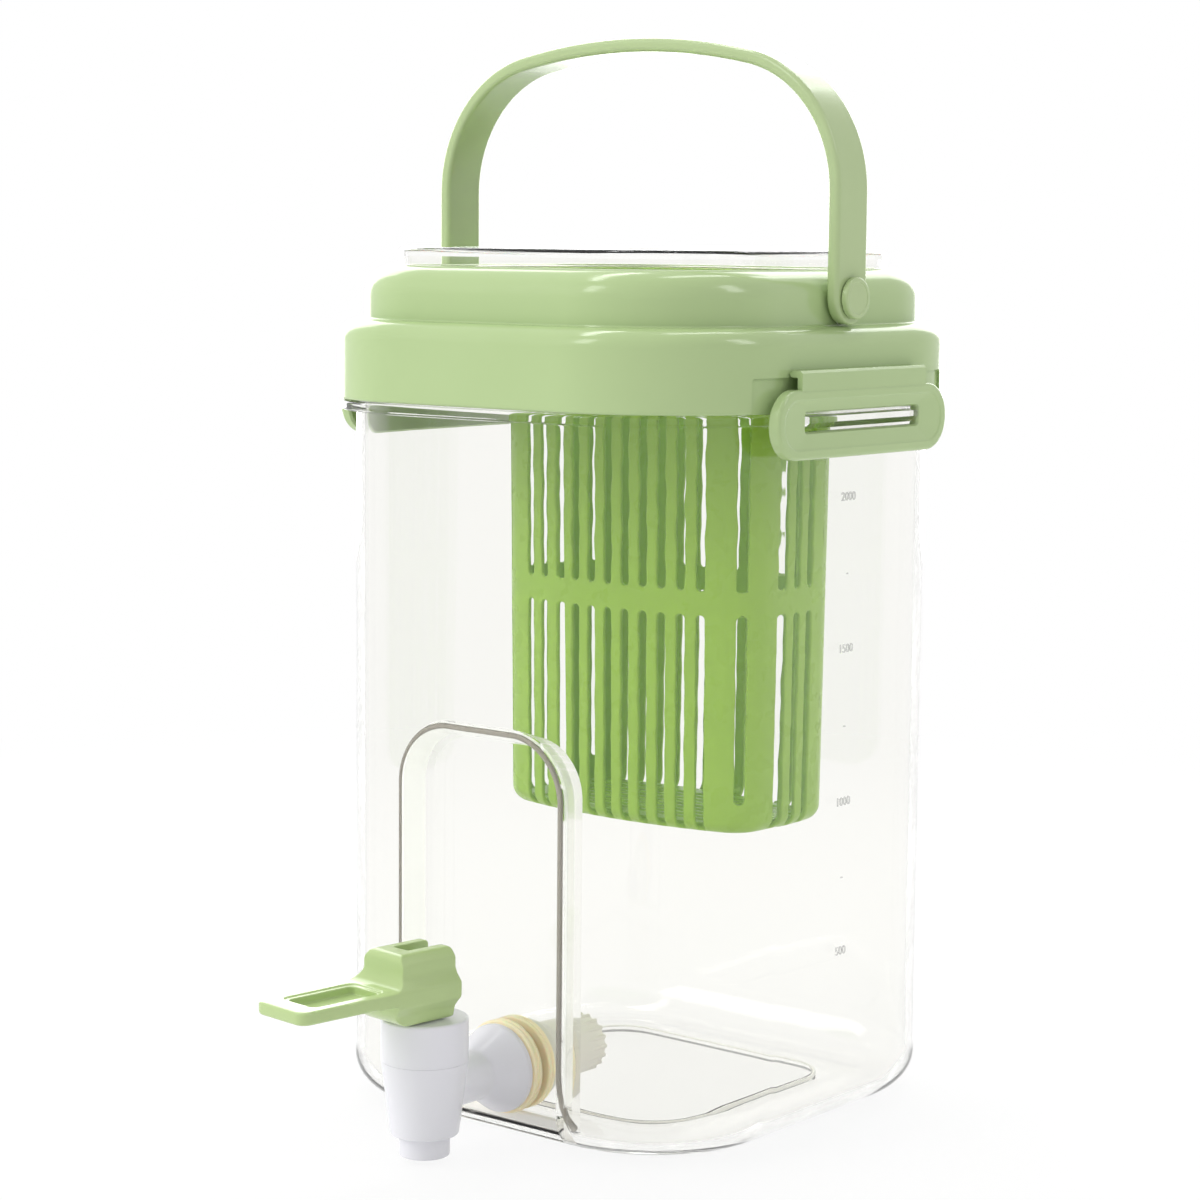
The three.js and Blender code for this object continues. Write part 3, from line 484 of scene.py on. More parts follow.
lid_plastic = moulded_plastic("lid_plastic", (179, 201, 146), (173, 196, 139), 0.15, 0.03, IOR=1.5)
handle_plastic = moulded_plastic("handle_plastic", (182, 201, 150), (176, 196, 143), 0.20, IOR=1.5)
# The basket's green emission is a painted glow: it lights its shaded insides and slots, in place of light
# shining through the thin plastic.
basket_plastic = moulded_plastic("basket_plastic", (150, 186, 74), (142, 180, 64), 0.28, IOR=1.36,
                                 Emission_Color=(0.30, 0.62, 0.06, 1), Emission_Strength=0.08)
lever_plastic = moulded_plastic("lever_plastic", (187, 208, 147), (181, 203, 140), 0.18, IOR=1.5)
# The white plastic's faint emission is a painted glow that lightens the white parts where they lie in shade.
white_plastic = moulded_plastic("white_plastic", (233, 232, 238), (228, 227, 234), 0.25, IOR=1.48,
                                Emission_Color=(0.96, 0.96, 1, 1), Emission_Strength=0.04)
nut_plastic = moulded_plastic("nut_plastic", (236, 233, 222), (229, 226, 214), 0.40, IOR=1.48)
# The silicone's warm emission is a painted glow that lightens the washers and gaskets where they sit in shade
# between parts.
silicone = moulded_plastic("silicone", (252, 240, 208), (249, 235, 198), 0.42, IOR=1.42,
                           Subsurface_Weight=0.35, Subsurface_Scale=0.003,
                           Emission_Color=(0.9, 0.75, 0.45, 1), Emission_Strength=0.08)

# It bends light less than real plastic, which keeps the rims from going black. A coat gives the shine back.
clear = Finish("clear_plastic", IOR=1.14, Transmission_Weight=1.0,
               Coat_Weight=0.6, Coat_IOR=1.5, Coat_Roughness=0.03)
clear.set("Base Color", clear.mix(clear.noise(18, 2), (0.975, 0.973, 0.955, 1), (0.965, 0.963, 0.943, 1)))
clear.set("Roughness", clear.noise(220, 3) * 0.03)
clear.bump(clear.noise(38, 1, (1, 1, 0.35)), 0.05, 0.002)
clear_plastic = clear.material

spring_wire = grained("spring_wire", 900, ((0.62, 0.63, 0.65, 1), (0.52, 0.53, 0.55, 1)),
                      700, 0.12, 0.22, 3, Metallic=1.0)


# Container

def arch(grown, low=-6):
    half, top, corner = recess_half + grown, recess_top + grown, recess_corner + grown
    return filleted([(-half, low, 0), (half, low, 0), (half, top, corner), (-half, top, corner)], steps=20)


def recess(grown, draft):
    """The arch run back into the body, with sides that close in on the way."""
    rings = []
    for depth, pull in ((-72, 0), (-body_half, 0), (recess_back + grown, draft)):
        rings.append([(point[0], depth, point[1]) for point in arch(grown - pull)])
    return loft(rings)


def tube(path, radii, sides=10):
    """A round bar along an open path of (x, y, z), with its own radius at each point."""
    path = [Vector(point) for point in path]
    rings = []
    for place, (point, radius) in enumerate(zip(path, radii)):
        on = (path[min(place + 1, len(path) - 1)] - path[max(place - 1, 0)]).normalized()
        across = on.cross(Vector((0, 1, 0))).normalized()
        rise = on.cross(across)
        rings.append([point + (across * math.cos(angle) + rise * math.sin(angle)) * radius
                      for angle in [2 * math.pi * side / sides for side in range(sides)]])
    return loft(rings)


slope_half, slope_radius = 36.9, 12.9
outside = square_loft([
    (35.0, 1.0, 0, 11),
    (35.9, 1.0, 0.5, 11.9),
    (slope_half, 0, 0.6, slope_radius),
    (body_half, 0, foot_round, body_radius),
    (body_half, flange_low, 0.5, body_radius),
    (flange_half, flange_low, 0.8, flange_radius),
    (flange_half, flange_top, 0.8, flange_radius),
    (body_half, flange_top, 0.5, body_radius),
    (body_half, neck_top, 0, body_radius),
], steps=14)
inside = square_loft([
    (35.0, 1.0 + wall, 0, 11),
    (35.9, 1.0 + wall, 0.5, 11.9),
    (slope_half, wall, 0.6, slope_radius),
    (body_half - wall, wall, 18.8, body_radius - wall),
    (body_half - wall, neck_top + 6, 0, body_radius - wall),
], steps=14)
container = made("clear_container", outside)
shaped(container, "DIFFERENCE", made("arch", recess(0, recess_draft)))
softened(container, 1.5, 40, 4)
hollow = made("hollow", inside)
shaped(hollow, "DIFFERENCE", made("arch", recess(wall, recess_draft)))
softened(hollow, 1.5, 40, 4)
lug_section = filleted([
    (body_half - 1, lug_low, 0),
    (lug_reach - 1.6, lug_low, 0.4),
    (lug_reach, lug_low + 1.4, 0.4),
    (lug_reach, flange_top - 0.4, 0.4),
    (body_half - 1, flange_top - 0.05, 0),
], steps=4)
lug = prism(lug_section, clasp_middle - lug_half, clasp_middle + lug_half, "Y")
shaped(container, "UNION", *[made("lug", flipped(lug, side)) for side in (1, -1)])
shaped(container, "DIFFERENCE", hollow)
shaped(container, "DIFFERENCE", made("hole", shifted(rod(6.2, -60, -45, "Y"), tap_x, z=shank_z)))
dressed(container, "vessel", clear_plastic, ["container"])


def front_face(height):
    """How far forward the body's front reaches at a height, down its round foot."""
    if height >= foot_round:
        return -body_half
    return foot_round - body_half - math.sqrt(foot_round ** 2 - (foot_round - height) ** 2)


# Clear plastic shows its edges as lines. The recess has a dark one, thicker towards the right: painted shade,
# a dark bead along the edge where the clear wall bends the light away.
edge_line = grained("edge_line", 60, (linear(176, 170, 158), linear(164, 158, 146)), 200, 0.1, 0.25,
                    IOR=1.3, Alpha=0.72)
arc = arch(0.5, 5.5)
arc = arc[1:] + arc[:1]
straight = [(arc[0][0], arc[0][1] + (arc[1][1] - arc[0][1]) * step / 24) for step in range(24)]
arc = straight + arc[1:-1] + [(-x, z) for x, z in straight[::-1]]
thick = []
for x, z in arc:
    lean = max(0, min(1, (x + recess_half) / 12))
    thick.append(0.34 + 0.38 * lean * lean * (3 - 2 * lean))
bead = made("recess_painted_shade_edge", tube([(x, front_face(z) + 0.55, z) for x, z in arc], thick))
dressed(bead, "vessel", edge_line)

# The step of the floor and the foot of the recess have pale ones: painted light, pale beads with a faint glow
# where the clear edges catch the light.
pale_line = grained("pale_line", 60, (linear(240, 238, 232), linear(228, 226, 219)), 200, 0.1, 0.25,
                    IOR=1.3, Alpha=0.92, Emission_Color=(1, 1, 0.96, 1), Emission_Strength=0.16)
step_line = loft([
    [point[:2] + (height,) for point in square_ring(half, half - 24, 0, 24)]
    for half, height in ((36.0, 2.75), (36.4, 2.3), (36.9, 2.3), (37.1, 2.75), (36.8, 3.2), (36.3, 3.2))
], "closed")
dressed(made("floor_step_painted_light", step_line), "vessel", pale_line)
lip = prism(round_rect(1.1, 1.3, 0.9, (-54.9, 5.2), 4), -22.0, 22.0, "X")
dressed(made("recess_foot_painted_light", lip), "vessel", pale_line)

# The side walls of the recess, seen edge on, show as light lines. These are painted light: a pale ribbon with
# a glow, set inside the clear wall.
painted_side_light = grained("recess_side", 90, (linear(250, 251, 244), linear(240, 243, 233)), 300, 0.1, 0.3,
                IOR=1.3, Alpha=0.42, Emission_Color=(1, 1, 1, 1), Emission_Strength=0.38)
near, far, closed_in = -60.6, -55.2, recess_draft * 0.75
corners = []
for grown, depth in ((0.75, near), (0.75 - closed_in, far), (1.35 - closed_in, far), (1.35, near)):
    around = arch(grown, 12)
    corners.append([(x, depth, z) for x, z in around[1:] + around[:1]])
ribbon = loft([list(ring) for ring in zip(*corners)])
dressed(made("recess_side", ribbon), "vessel", painted_side_light)

# The basket's outline, which the lid's mouth follows too


def basket_arcs():
    """Centre, radius and angles of the eight arcs round the basket: four bowed sides and four corners."""
    corner_x, corner_y = basket_half_x - basket_corner, basket_half_y - basket_corner
    for _ in range(40):
        corner_y = basket_half_y - bow_front + math.sqrt((bow_front - basket_corner) ** 2 - corner_x ** 2)
        corner_x = basket_half_x - bow_side + math.sqrt((bow_side - basket_corner) ** 2 - corner_y ** 2)
    front = math.asin(corner_x / (bow_front - basket_corner))
    side = math.asin(corner_y / (bow_side - basket_corner))
    half = math.pi / 2
    return [
        (basket_half_x - bow_side, 0, bow_side, -side, side),
        (corner_x, corner_y, basket_corner, side, half - front),
        (0, basket_half_y - bow_front, bow_front, half - front, half + front),
        (-corner_x, corner_y, basket_corner, half + front, math.pi - side),
        (bow_side - basket_half_x, 0, bow_side, math.pi - side, math.pi + side),
        (-corner_x, -corner_y, basket_corner, math.pi + side, 3 * half - front),
        (0, bow_front - basket_half_y, bow_front, 3 * half - front, 3 * half + front),
        (corner_x, -corner_y, basket_corner, 3 * half + front, 4 * half - side),
    ]


arcs = basket_arcs()
arc_starts = [sum(r * (e - s) for _, _, r, s, e in arcs[:place]) for place in range(9)]
basket_girth = arc_starts[8]


def basket_point(along, grow):
    """A point of the basket's outline, grown outwards."""
    along %= basket_girth
    place = max(i for i in range(8) if arc_starts[i] <= along + 1e-9)
    x, y, radius, start, _ = arcs[place]
    angle = start + (along - arc_starts[place]) / radius
    reach = radius + grow
    return (basket_x + x + reach * math.cos(angle), basket_y + y + reach * math.sin(angle))


def basket_ring(grow, height, count=160):
    return [(*basket_point(basket_girth * step / count, grow), height) for step in range(count)]


# Lid, cap and gaskets

def big_round(half, height, radius, corner):
    """A wide round over an upper edge, as points for square_loft."""
    points = []
    for step in range(13):
        pull = radius * (1 - math.cos(step / 12 * math.pi / 2))
        rise = radius * (1 - math.sin(step / 12 * math.pi / 2))
        points.append((half - pull, height - rise, 0, corner - pull))
    return points


lid = made("lid", square_loft([
    (crown_half - wall, roof_low, 0, crown_radius - wall),
    (crown_half - wall, lid_step - wall, 0.5, crown_radius - wall),
    (63, lid_step - wall, 0.6, 37),
    (63, lid_bottom, 0.4, 37),
    (lid_half, lid_bottom, 0.7, lid_radius),
    *big_round(lid_half, lid_step, 4.9, lid_radius),
    (crown_half, lid_step, 0.6, crown_radius),
    *big_round(crown_half, crown_top, 7.0, crown_radius),
    (well_half, crown_top, 0.4, well_radius),
    (well_half, roof_top, 0.4, well_radius),
], steps=10))
mouth = made("mouth", loft([basket_ring(0.6, roof_low - 4), basket_ring(0.6, roof_top + 4)]))
# A shallow notch under each clasp follows the lid's rounding
flats = []
for side in (1, -1):
    outline = round_rect(39.4, 14, 0.8, (0, 187.2 - 14))
    notch = made("notch", flipped(prism(outline, 50, 72, "X"), side))
    core = loft([square_ring(lid_half - 0.7, lid_radius - 0.7, level, 40) for level in (150, 200)])
    flats.append(shaped(notch, "DIFFERENCE", made("core", core)))
pin_hole = shifted(rod(pin_hole_radius, -70, 70, "X", 32), z=pivot)
shaped(lid, "DIFFERENCE", mouth, *flats, made("hole", pin_hole))
softened(lid, 0.35)
dressed(lid, "vessel", lid_plastic, ["lid_ring"])

cap = made("clear_cap", square_loft([
    (cap_half - wall, cap_top - wall, 0, cap_radius - wall),
    (cap_half - wall, cap_low, 0.5, cap_radius - wall),
    (cap_half, cap_low, 0.5, cap_radius),
    (cap_half, cap_top, 1.6, cap_radius),
    (cap_half - 5, cap_top, 0.6, cap_radius - 5),
    (cap_half - 6, cap_top - 0.5, 0.6, cap_radius - 6),
    (cap_half - 12, cap_top - 0.5, 0, cap_radius - 12),
], steps=8))
dressed(cap, "cap", clear_plastic, ["top_cap"])

for name, inner, corner, width, low, high, node in (
    ("neck_gasket", 60, 36, 2.5, 193.5, 196.15, "lid_gasket"),
    ("well_gasket", 48.9, 24.3, 2.6, 209.9, 211.1, "cap_gasket"),
):
    gasket = square_loft([
        (inner, low, 0.3, corner),
        (inner + width, low, 0.5, corner + width),
        (inner + width, high, 0.5, corner + width),
        (inner, high, 0.3, corner),
    ], True, 4)
    dressed(made(name, gasket), "vessel", silicone, [node])

# Handle: a flat band that bends over, and narrows round each pin


def handle_stations():
    """Centre, outward direction, half width and half thickness along the band, from the right foot on."""
    corner_x = handle_mid - handle_corner
    arch_z = pivot + handle_rise - handle_arch
    lean = math.asin(corner_x / (handle_arch - handle_corner))
    corner_z = arch_z + (handle_arch - handle_corner) * math.cos(lean)
    right = []
    for step in range(1, 15):
        drop = handle_width * math.cos(step / 14 * math.pi / 2)
        width = math.sqrt(handle_width ** 2 - drop ** 2)
        thin = min(1, width / 3)
        half = handle_half * (0.45 + 0.55 * math.sqrt(thin * (2 - thin)))
        right.append((handle_mid, pivot - drop, 1, 0, width, half))
    for share in (0.3, 0.6):
        right.append((handle_mid, pivot + (corner_z - pivot) * share, 1, 0, handle_width, handle_half))
    for centre_x, centre_z, radius, first, last, steps in (
        (corner_x, corner_z, handle_corner, 0, math.pi / 2 - lean, 32),
        (0, arch_z, handle_arch, math.pi / 2 - lean, math.pi / 2, 9),
    ):
        for step in range(steps):
            angle = first + (last - first) * step / steps
            x, z = math.cos(angle), math.sin(angle)
            right.append((centre_x + radius * x, centre_z + radius * z, x, z, handle_width, handle_half))
    top = (0, arch_z + handle_arch, 0, 1, handle_width, handle_half)
    left = [(-x, z, -out_x, out_z, width, half) for x, z, out_x, out_z, width, half in right[::-1]]
    return right + [top] + left


band_rings = []
for x, z, out_x, out_z, width, half in handle_stations():
    section = round_rect(width, half, min(1.25, width * 0.8, half * 0.8), steps=5)
    band_rings.append([(x + out_x * p.y, p.x, z + out_z * p.y) for p in section])
handle = made("handle_band", loft(band_rings))
shaped(handle, "DIFFERENCE", made("hole", pin_hole))
dressed(handle, "bail", handle_plastic, ["handle"], 50)

for side, node in ((1, "right"), (-1, "left")):
    pin = turned([
        (0.01, 56.2, 0),
        (2, 56.2, 0.3),
        (2.4, 57.5, 0.1),
        (2, 57.6, 0),
        (2, 64.3, 0),
        (5, 64.3, 0.2),
        (5, 65.9, 0.55),
        (3.9, 65.9, 0.3),
        (3.7, 65.75, 0.3),
        (0.01, 65.75, 0),
    ], "X", False, 72)
    pin = made("pin_" + node, flipped(shifted(pin, z=pivot), side))
    dressed(pin, "vessel", handle_plastic, ["handle_pin_" + node])

# Clasps


def clasp(side):
    # Out round the back edge, over the rim, down the dish and back through the slot
    rim_round, rim_x, back_x = 0.95, 69.25, 66.9
    edges = [(0.5, back_x), (0, back_x + 0.5), (0, rim_x)]
    for step in range(1, 7):
        angle = step / 6 * math.pi / 2
        edges.append((rim_round * (1 - math.cos(angle)), rim_x + rim_round * math.sin(angle)))
    sections = []
    for pull, x in edges:
        sections.append((clasp_half_y - pull, clasp_half_z - pull, clasp_corner - pull, clasp_level, x))
    # Half width, half height, corner, level of the middle, and how far out
    sections += [
        (33.1, 6.15, 5.9, 176.25, 70.2),
        (32.9, 6.0, 5.75, 176.25, 70.14),
        (32.6, 5.75, 5.5, 176.25, 69.98),
        (32.4, 5.6, 5.35, 176.26, 69.93),
        (26.0, 3.8, 2.1, 176.7, 69.55),
        (24.0, 2.7, 1.1, 176.75, 69.4),
        (23.6, 2.35, 0.8, 176.75, 69.0),
        (23.5, 2.25, 0.7, 176.75, 68.6),
        (23.5, 2.25, 0.7, 176.75, 67.3),
        (23.9, 2.65, 1.1, 176.75, 66.9),
    ]
    rings = []
    for half_y, half_z, radius, level, x in sections:
        rings.append([(x, p.x, p.y) for p in round_rect(half_y, half_z, radius, (clasp_middle, level), 12)])
    shape = made("clasp", flipped(loft(rings, "closed"), side))
    hook = filleted([
        (68.6, 182.6, 0), (70.0, 182.6, 0), (70.0, 188.25, 0.15), (69.35, 188.9, 0.15), (67.1, 188.9, 0.2),
        (67.1, 187.3, 0.2), (68.6, 187.3, 0.3),
    ], steps=3)
    hook_part = made("hook", flipped(prism(hook, clasp_middle - 26, clasp_middle + 26, "Y"), side))
    web = shifted(rod(0.8, -25.9, 25.9, "Y", 24), web_x, clasp_middle, web_z)
    shaped(shape, "UNION", hook_part, made("web", flipped(web, side)))
    return softened(shape, 0.3, 40, 3)


for side, node, body in ((1, "right", "clasp_r"), (-1, "left", "clasp_l")):
    piece = clasp(side)
    piece.name = "clasp_" + node + "_plate"
    dressed(piece, body, lid_plastic, ["clasp_" + node])

# Basket: a slotted sheet that is wrapped round, with its foot turned in

foot_length = basket_foot * math.pi / 2


def up(height):
    return foot_length + height - (basket_low + basket_foot)


def slot_places(front):
    """Where the slots stand along the outline: eleven in each long side and three in each short one."""
    places = []
    if front:
        for x in [(step - 5) * 5.5 for step in range(11)]:
            turn = math.asin(x / bow_front)
            for place, angle in ((2, math.pi / 2 - turn), (6, 1.5 * math.pi + turn)):
                places.append(arc_starts[place] + bow_front * (angle - arcs[place][3]))
    else:
        for y in (-5.5, 0, 5.5):
            turn = math.asin(y / bow_side)
            for place, angle in ((0, turn), (4, math.pi - turn)):
                places.append(arc_starts[place] + bow_side * (angle - arcs[place][3]))
    return places


corner_places = []
for place, angle in ((1, 45), (3, 135), (5, 225), (7, 315)):
    corner_places.append(arc_starts[place] + basket_corner * (math.radians(angle) - arcs[place][3]))
# The sheet starts in the middle of the post beside the first corner
sheet_start = arc_starts[1] + 1.3


def stadium(along, width, low, high, radius):
    along = (along - sheet_start) % basket_girth
    outline = round_rect(width / 2, (high - low) / 2, radius, (along, (low + high) / 2), 8)
    return outline[::-1]


slots = []
for along in slot_places(True) + slot_places(False):
    slots.append(stadium(along, 2.4, 1.1, up(band_low), 1.19))
    slots.append(stadium(along, 2.4, up(band_high), up(slot_top), 1.19))
for along in corner_places:
    slots.append(stadium(along, 3.2, up(basket_low + 7.6), up(band_low), 1.2))
    slots.append(stadium(along, 3.2, up(band_high), up(slot_top), 0.8))
sheet_top = up(basket_rim) - 0.1
line = [basket_girth * step / 60 for step in range(61)]
outline = [Vector((x, 0)) for x in line] + [Vector((x, sheet_top)) for x in line[::-1]]
sheet_points, sheet_faces = plate([outline, *slots], 0, bar_depth, 0.4, 3, (0, basket_girth))
sheet = bpy.data.meshes.new("sheet")
sheet.from_pydata(sheet_points, [], sheet_faces)
work = bmesh.new()
work.from_mesh(sheet)


def sliced(along, up_to=0):
    """Adds a row of corners right across the sheet, so that it can bend there."""
    at = Vector((along, up_to, 0))
    everything = work.verts[:] + work.edges[:] + work.faces[:]
    bmesh.ops.bisect_plane(work, geom=everything, dist=1e-5, plane_co=at, plane_no=at.normalized())


for step in range(1, 150):
    sliced(basket_girth * step / 150)
for step in range(1, 7):
    sliced(0, foot_length * step / 6)
for step in range(1, 50):
    sliced(0, foot_length + 2.6 * step)
for corner in work.verts:
    along, climb, depth = corner.co
    depth = bar_depth - depth
    if climb < foot_length:
        angle = climb / basket_foot
        grow = -basket_draft - basket_foot + (basket_foot - depth) * math.sin(angle)
        height = basket_low + basket_foot - (basket_foot - depth) * math.cos(angle)
    else:
        height = basket_low + basket_foot + climb - foot_length
        grow = -basket_draft * (1 - (height - 76) / (basket_hang - 76)) - depth
    # The bars waver a little, but not near the foot, the band and the slots' ends
    still = min(1, climb / 12) * max(0, min(1, (slot_top - height) / 12))
    still *= min(1, abs(height - band_high + 3) / 12)
    waver = math.sin(height * 0.62 + along * 0.9) + 0.7 * math.sin(height * 0.31 + along * 1.7)
    reach = 0.16 if height > band_high else 0.09
    corner.co = (*basket_point(along + sheet_start + reach * still * waver, grow), height)
work.to_mesh(sheet)
work.free()
sheet_part = ([tuple(v.co) for v in sheet.vertices], [list(face.vertices) for face in sheet.polygons])
hoop = loft([
    basket_ring(grow, height) for grow, height in filleted([
        (-1.2, basket_hang + 0.05, 0),
        (3.4, basket_hang, 0.4),
        (3.4, basket_rim, 0.6),
        (-1.9, basket_rim, 0.5),
        (-1.9, basket_hang + 0.6, 0),
    ], steps=4)
], "closed")
floor_outline = [Vector(p[:2]) for p in basket_ring(-5.2, 0)]
opening = round_rect(28.6, 14.4, 1.5, (basket_x, basket_y), 5)[::-1]
floor_part = plate([floor_outline, opening], basket_low + 0.03, basket_low + basket_wall - 0.03, 0.3, 3)
basket = made("slotted_basket", joined(sheet_part, hoop, floor_part))
dressed(basket, "vessel", basket_plastic, ["strainer_basket"])

# Rungs across the basket's floor
rungs = Pattern("rungs", Count=8, Pitch=3.4, Length=57.8, Width=1.8, Height=1.9)
rung_line = rungs.node("CurvePrimitiveLine", None, {
    "Start": rungs.vector(rungs.sums("MULTIPLY", rungs.size("Length"), -0.5)),
    "End": rungs.vector(rungs.sums("MULTIPLY", rungs.size("Length"), 0.5)),
})
rung_section = rungs.node("CurvePrimitiveQuadrilateral", None, {
    "Width": rungs.size("Height"),
    "Height": rungs.size("Width"),
})
rung_round = rungs.node("FilletCurve", {"mode": "POLY"}, {
    "Curve": rung_section.outputs[0],
    "Count": 3,
    "Radius": 0.4,
})
rung = rungs.swept(rung_line, rung_round)
half_row = rungs.sums("MULTIPLY", rungs.size("Pitch"), -0.5)
row = rungs.node("MeshLine", None, {
    "Count": rungs.size("Count"),
    "Start Location": rungs.vector(0.0, rungs.sums(
        "MULTIPLY", rungs.sums("SUBTRACT", rungs.size("Count"), 1.0), half_row)),
    "Offset": rungs.vector(0.0, rungs.size("Pitch")),
})
rungs.finished(rungs.repeated(row, rung), basket_plastic)
floor_rungs = rungs.grown("basket_rungs", whole @ Matrix.Translation((basket_x, basket_y, basket_low + 1)))
dressed(floor_rungs, "vessel", basket_plastic, (), 50)

# Tap
barrel = made("tap_barrel", turned([
    (0.01, 1.5, 0),
    (6.1, 1.5, 0.5),
    (6.1, 6.7, 0.3),
    (8.2, 6.7, 0.7),
    (10.5, 24.8, 0.05),
    (8.7, 24.8, 0),
    (8.7, 32.9, 0.3),
    (0.01, 32.9, 0),
], "Z", False), tap_place)
neck = shifted(turned([
    (0.01, 0, 0),
    (6, 0, 0),
    (6, 18.1, 3),
    (10.9, 25.6, 1.2),
    (10.9, flange_back, 0.4),
    (5.7, flange_back, 0),
    (5.7, shank_end, 0.4),
    (0.01, shank_end, 0),
], "Y", False), z=shank_z)
tab = prism(round_rect(1.5, 6.6, 0.5, (0, 6.6)), 17.2, 24.6, "Z")
shaped(barrel, "UNION", made("neck", neck, tap_place), made("tab", tab, tap_place))
softened(barrel, 0.5, 42, 4)
bores = [
    made("bore", rod(6.8, 9.5, 40), tap_place),
    made("outlet", rod(4, -3, 14), tap_place),
    made("inlet", shifted(rod(4, 0, 70, "Y"), z=shank_z), tap_place),
]
shaped(barrel, "DIFFERENCE", *bores)
dressed(barrel, "vessel", white_plastic, ["tap_body"])

bonnet = turned([
    (9, 24.86, 0),
    (10.5, 24.86, 0.04),
    (10.5, 35.2, 0.7),
    (2.5, 35.2, 0.3),
    (2.5, 33.2, 0),
    (9, 33.2, 0),
])
dressed(made("tap_cap", bonnet, tap_place), "vessel", white_plastic, ["tap_bonnet"])


def along_shank(profile):
    return shifted(turned(profile, "Y"), z=shank_z)


for name, start, node in (
    ("front_washer", outer_washer_y, "outer_washer"),
    ("back_washer", inner_washer_y, "inner_washer"),
):
    ring = along_shank([
        (6, start, 0.2),
        (11.6, start, 0.5),
        (11.6, start + 1.0, 0.35),
        (11.1, start + 1.3, 0.35),
        (11.6, start + 1.6, 0.35),
        (11.6, start + 2.6, 0.5),
        (6, start + 2.6, 0.2),
    ])
    dressed(made(name, ring, tap_place), "vessel", silicone, [node])

sleeve = along_shank([
    (6, nut_y, 0.2),
    (10.3, nut_y, 0.4),
    (10.3, nut_y + 2.4, 0.5),
    (8, nut_y + 7.4, 1),
    (6.9, nut_end, 0.4),
    (6, nut_end, 0.2),
])
dressed(made("shank_nut", sleeve, tap_place), "vessel", nut_plastic, ["tap_nut"])

# Teeth round the nut's tip
teeth = Pattern("teeth", Count=18, Radius=6.75, Length=9.0, Width=1.3)
tooth_line = teeth.node("CurvePrimitiveLine", None, {
    "Start": (0, 0, 0),
    "End": teeth.vector(0.0, 0.0, teeth.size("Length")),
})
tooth_section = teeth.node("CurvePrimitiveCircle", None, {
    "Resolution": 12,
    "Radius": teeth.sums("MULTIPLY", teeth.size("Width"), 0.5),
})
tooth = teeth.swept(tooth_line, tooth_section)
circle = teeth.node("MeshCircle", None, {"Vertices": teeth.size("Count"), "Radius": teeth.size("Radius")})
teeth.finished(teeth.repeated(circle, tooth), nut_plastic)
nut_turn = tap_place @ Matrix.Translation((0, nut_end - 9, shank_z)) @ Matrix.Rotation(-math.pi / 2, 4, "X")
dressed(teeth.grown("nut_teeth", nut_turn), "vessel", nut_plastic, (), 50)

# Closing spring
coil = Pattern("coil", Turns=6.0, Radius=3.9, Height=6.0, Wire=0.4)
spiral = coil.node("CurveSpiral", None, {
    "Resolution": 40, "Rotations": coil.size("Turns"), "Start Radius": coil.size("Radius"),
    "End Radius": coil.size("Radius"), "Height": coil.size("Height"),
})
wire_section = coil.node("CurvePrimitiveCircle", None, {"Resolution": 10, "Radius": coil.size("Wire")})
coil.finished(coil.swept(spiral, wire_section), spring_wire)
spring = coil.grown("closing_spring", tap_place @ Matrix.Translation((0, 0, 26.65)), Height=5.8, Turns=5.0)
dressed(spring, "vessel", spring_wire, ["tap_spring"], 60)
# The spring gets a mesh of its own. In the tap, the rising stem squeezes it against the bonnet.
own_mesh(spring)

plug = turned([(2.5, 9.8, 0.1), (5.6, 9.8, 0.7), (5.6, 13.2, 0.7), (2.5, 13.2, 0.1)])
dressed(made("plug_ring", plug, tap_place), "stem", silicone, ["valve_plug"])
seal = turned([(4.7, 22.7, 0.85), (6.5, 22.7, 0.85), (6.5, 24.5, 0.85), (4.7, 24.5, 0.85)], fillets=8)
dressed(made("stem_seal", seal, tap_place), "stem", silicone, ["stem_ring"])

stem = made("stem", turned([
    (0.01, 9.8, 0),
    (2.2, 9.8, 0.2),
    (2.2, 13.5, 0),
    (4, 13.5, 0.3),
    (2.2, 17.2, 0.6),
    (2.2, 21.3, 0),
    (6.5, 21.3, 0.3),
    (6.5, 22.4, 0),
    (4.4, 22.4, 0),
    (4.4, 24.8, 0),
    (6.5, 24.8, 0),
    (6.5, 25.9, 0.3),
    (2.2, 25.9, 0.3),
    (2.2, lever_pin_z, 0),
    (0.01, lever_pin_z, 0),
], "Z", False), lever_place)


def at_pin(name, *sizes):
    return made(name, shifted(rod(*sizes), z=lever_pin_z), lever_place)


shaped(stem, "UNION", at_pin("head", 3, -2.2, 2.2, "X", 96, 0.3))
shaped(stem, "DIFFERENCE", at_pin("way", 1.6, -9, 9, "X", 48))
dressed(stem, "stem", white_plastic, ["tap_stem"])
dressed(at_pin("lever_axle", 1.5, -4.8, 4.8, "X", 48, 0.25), "stem", spring_wire, ["lever_pin"])

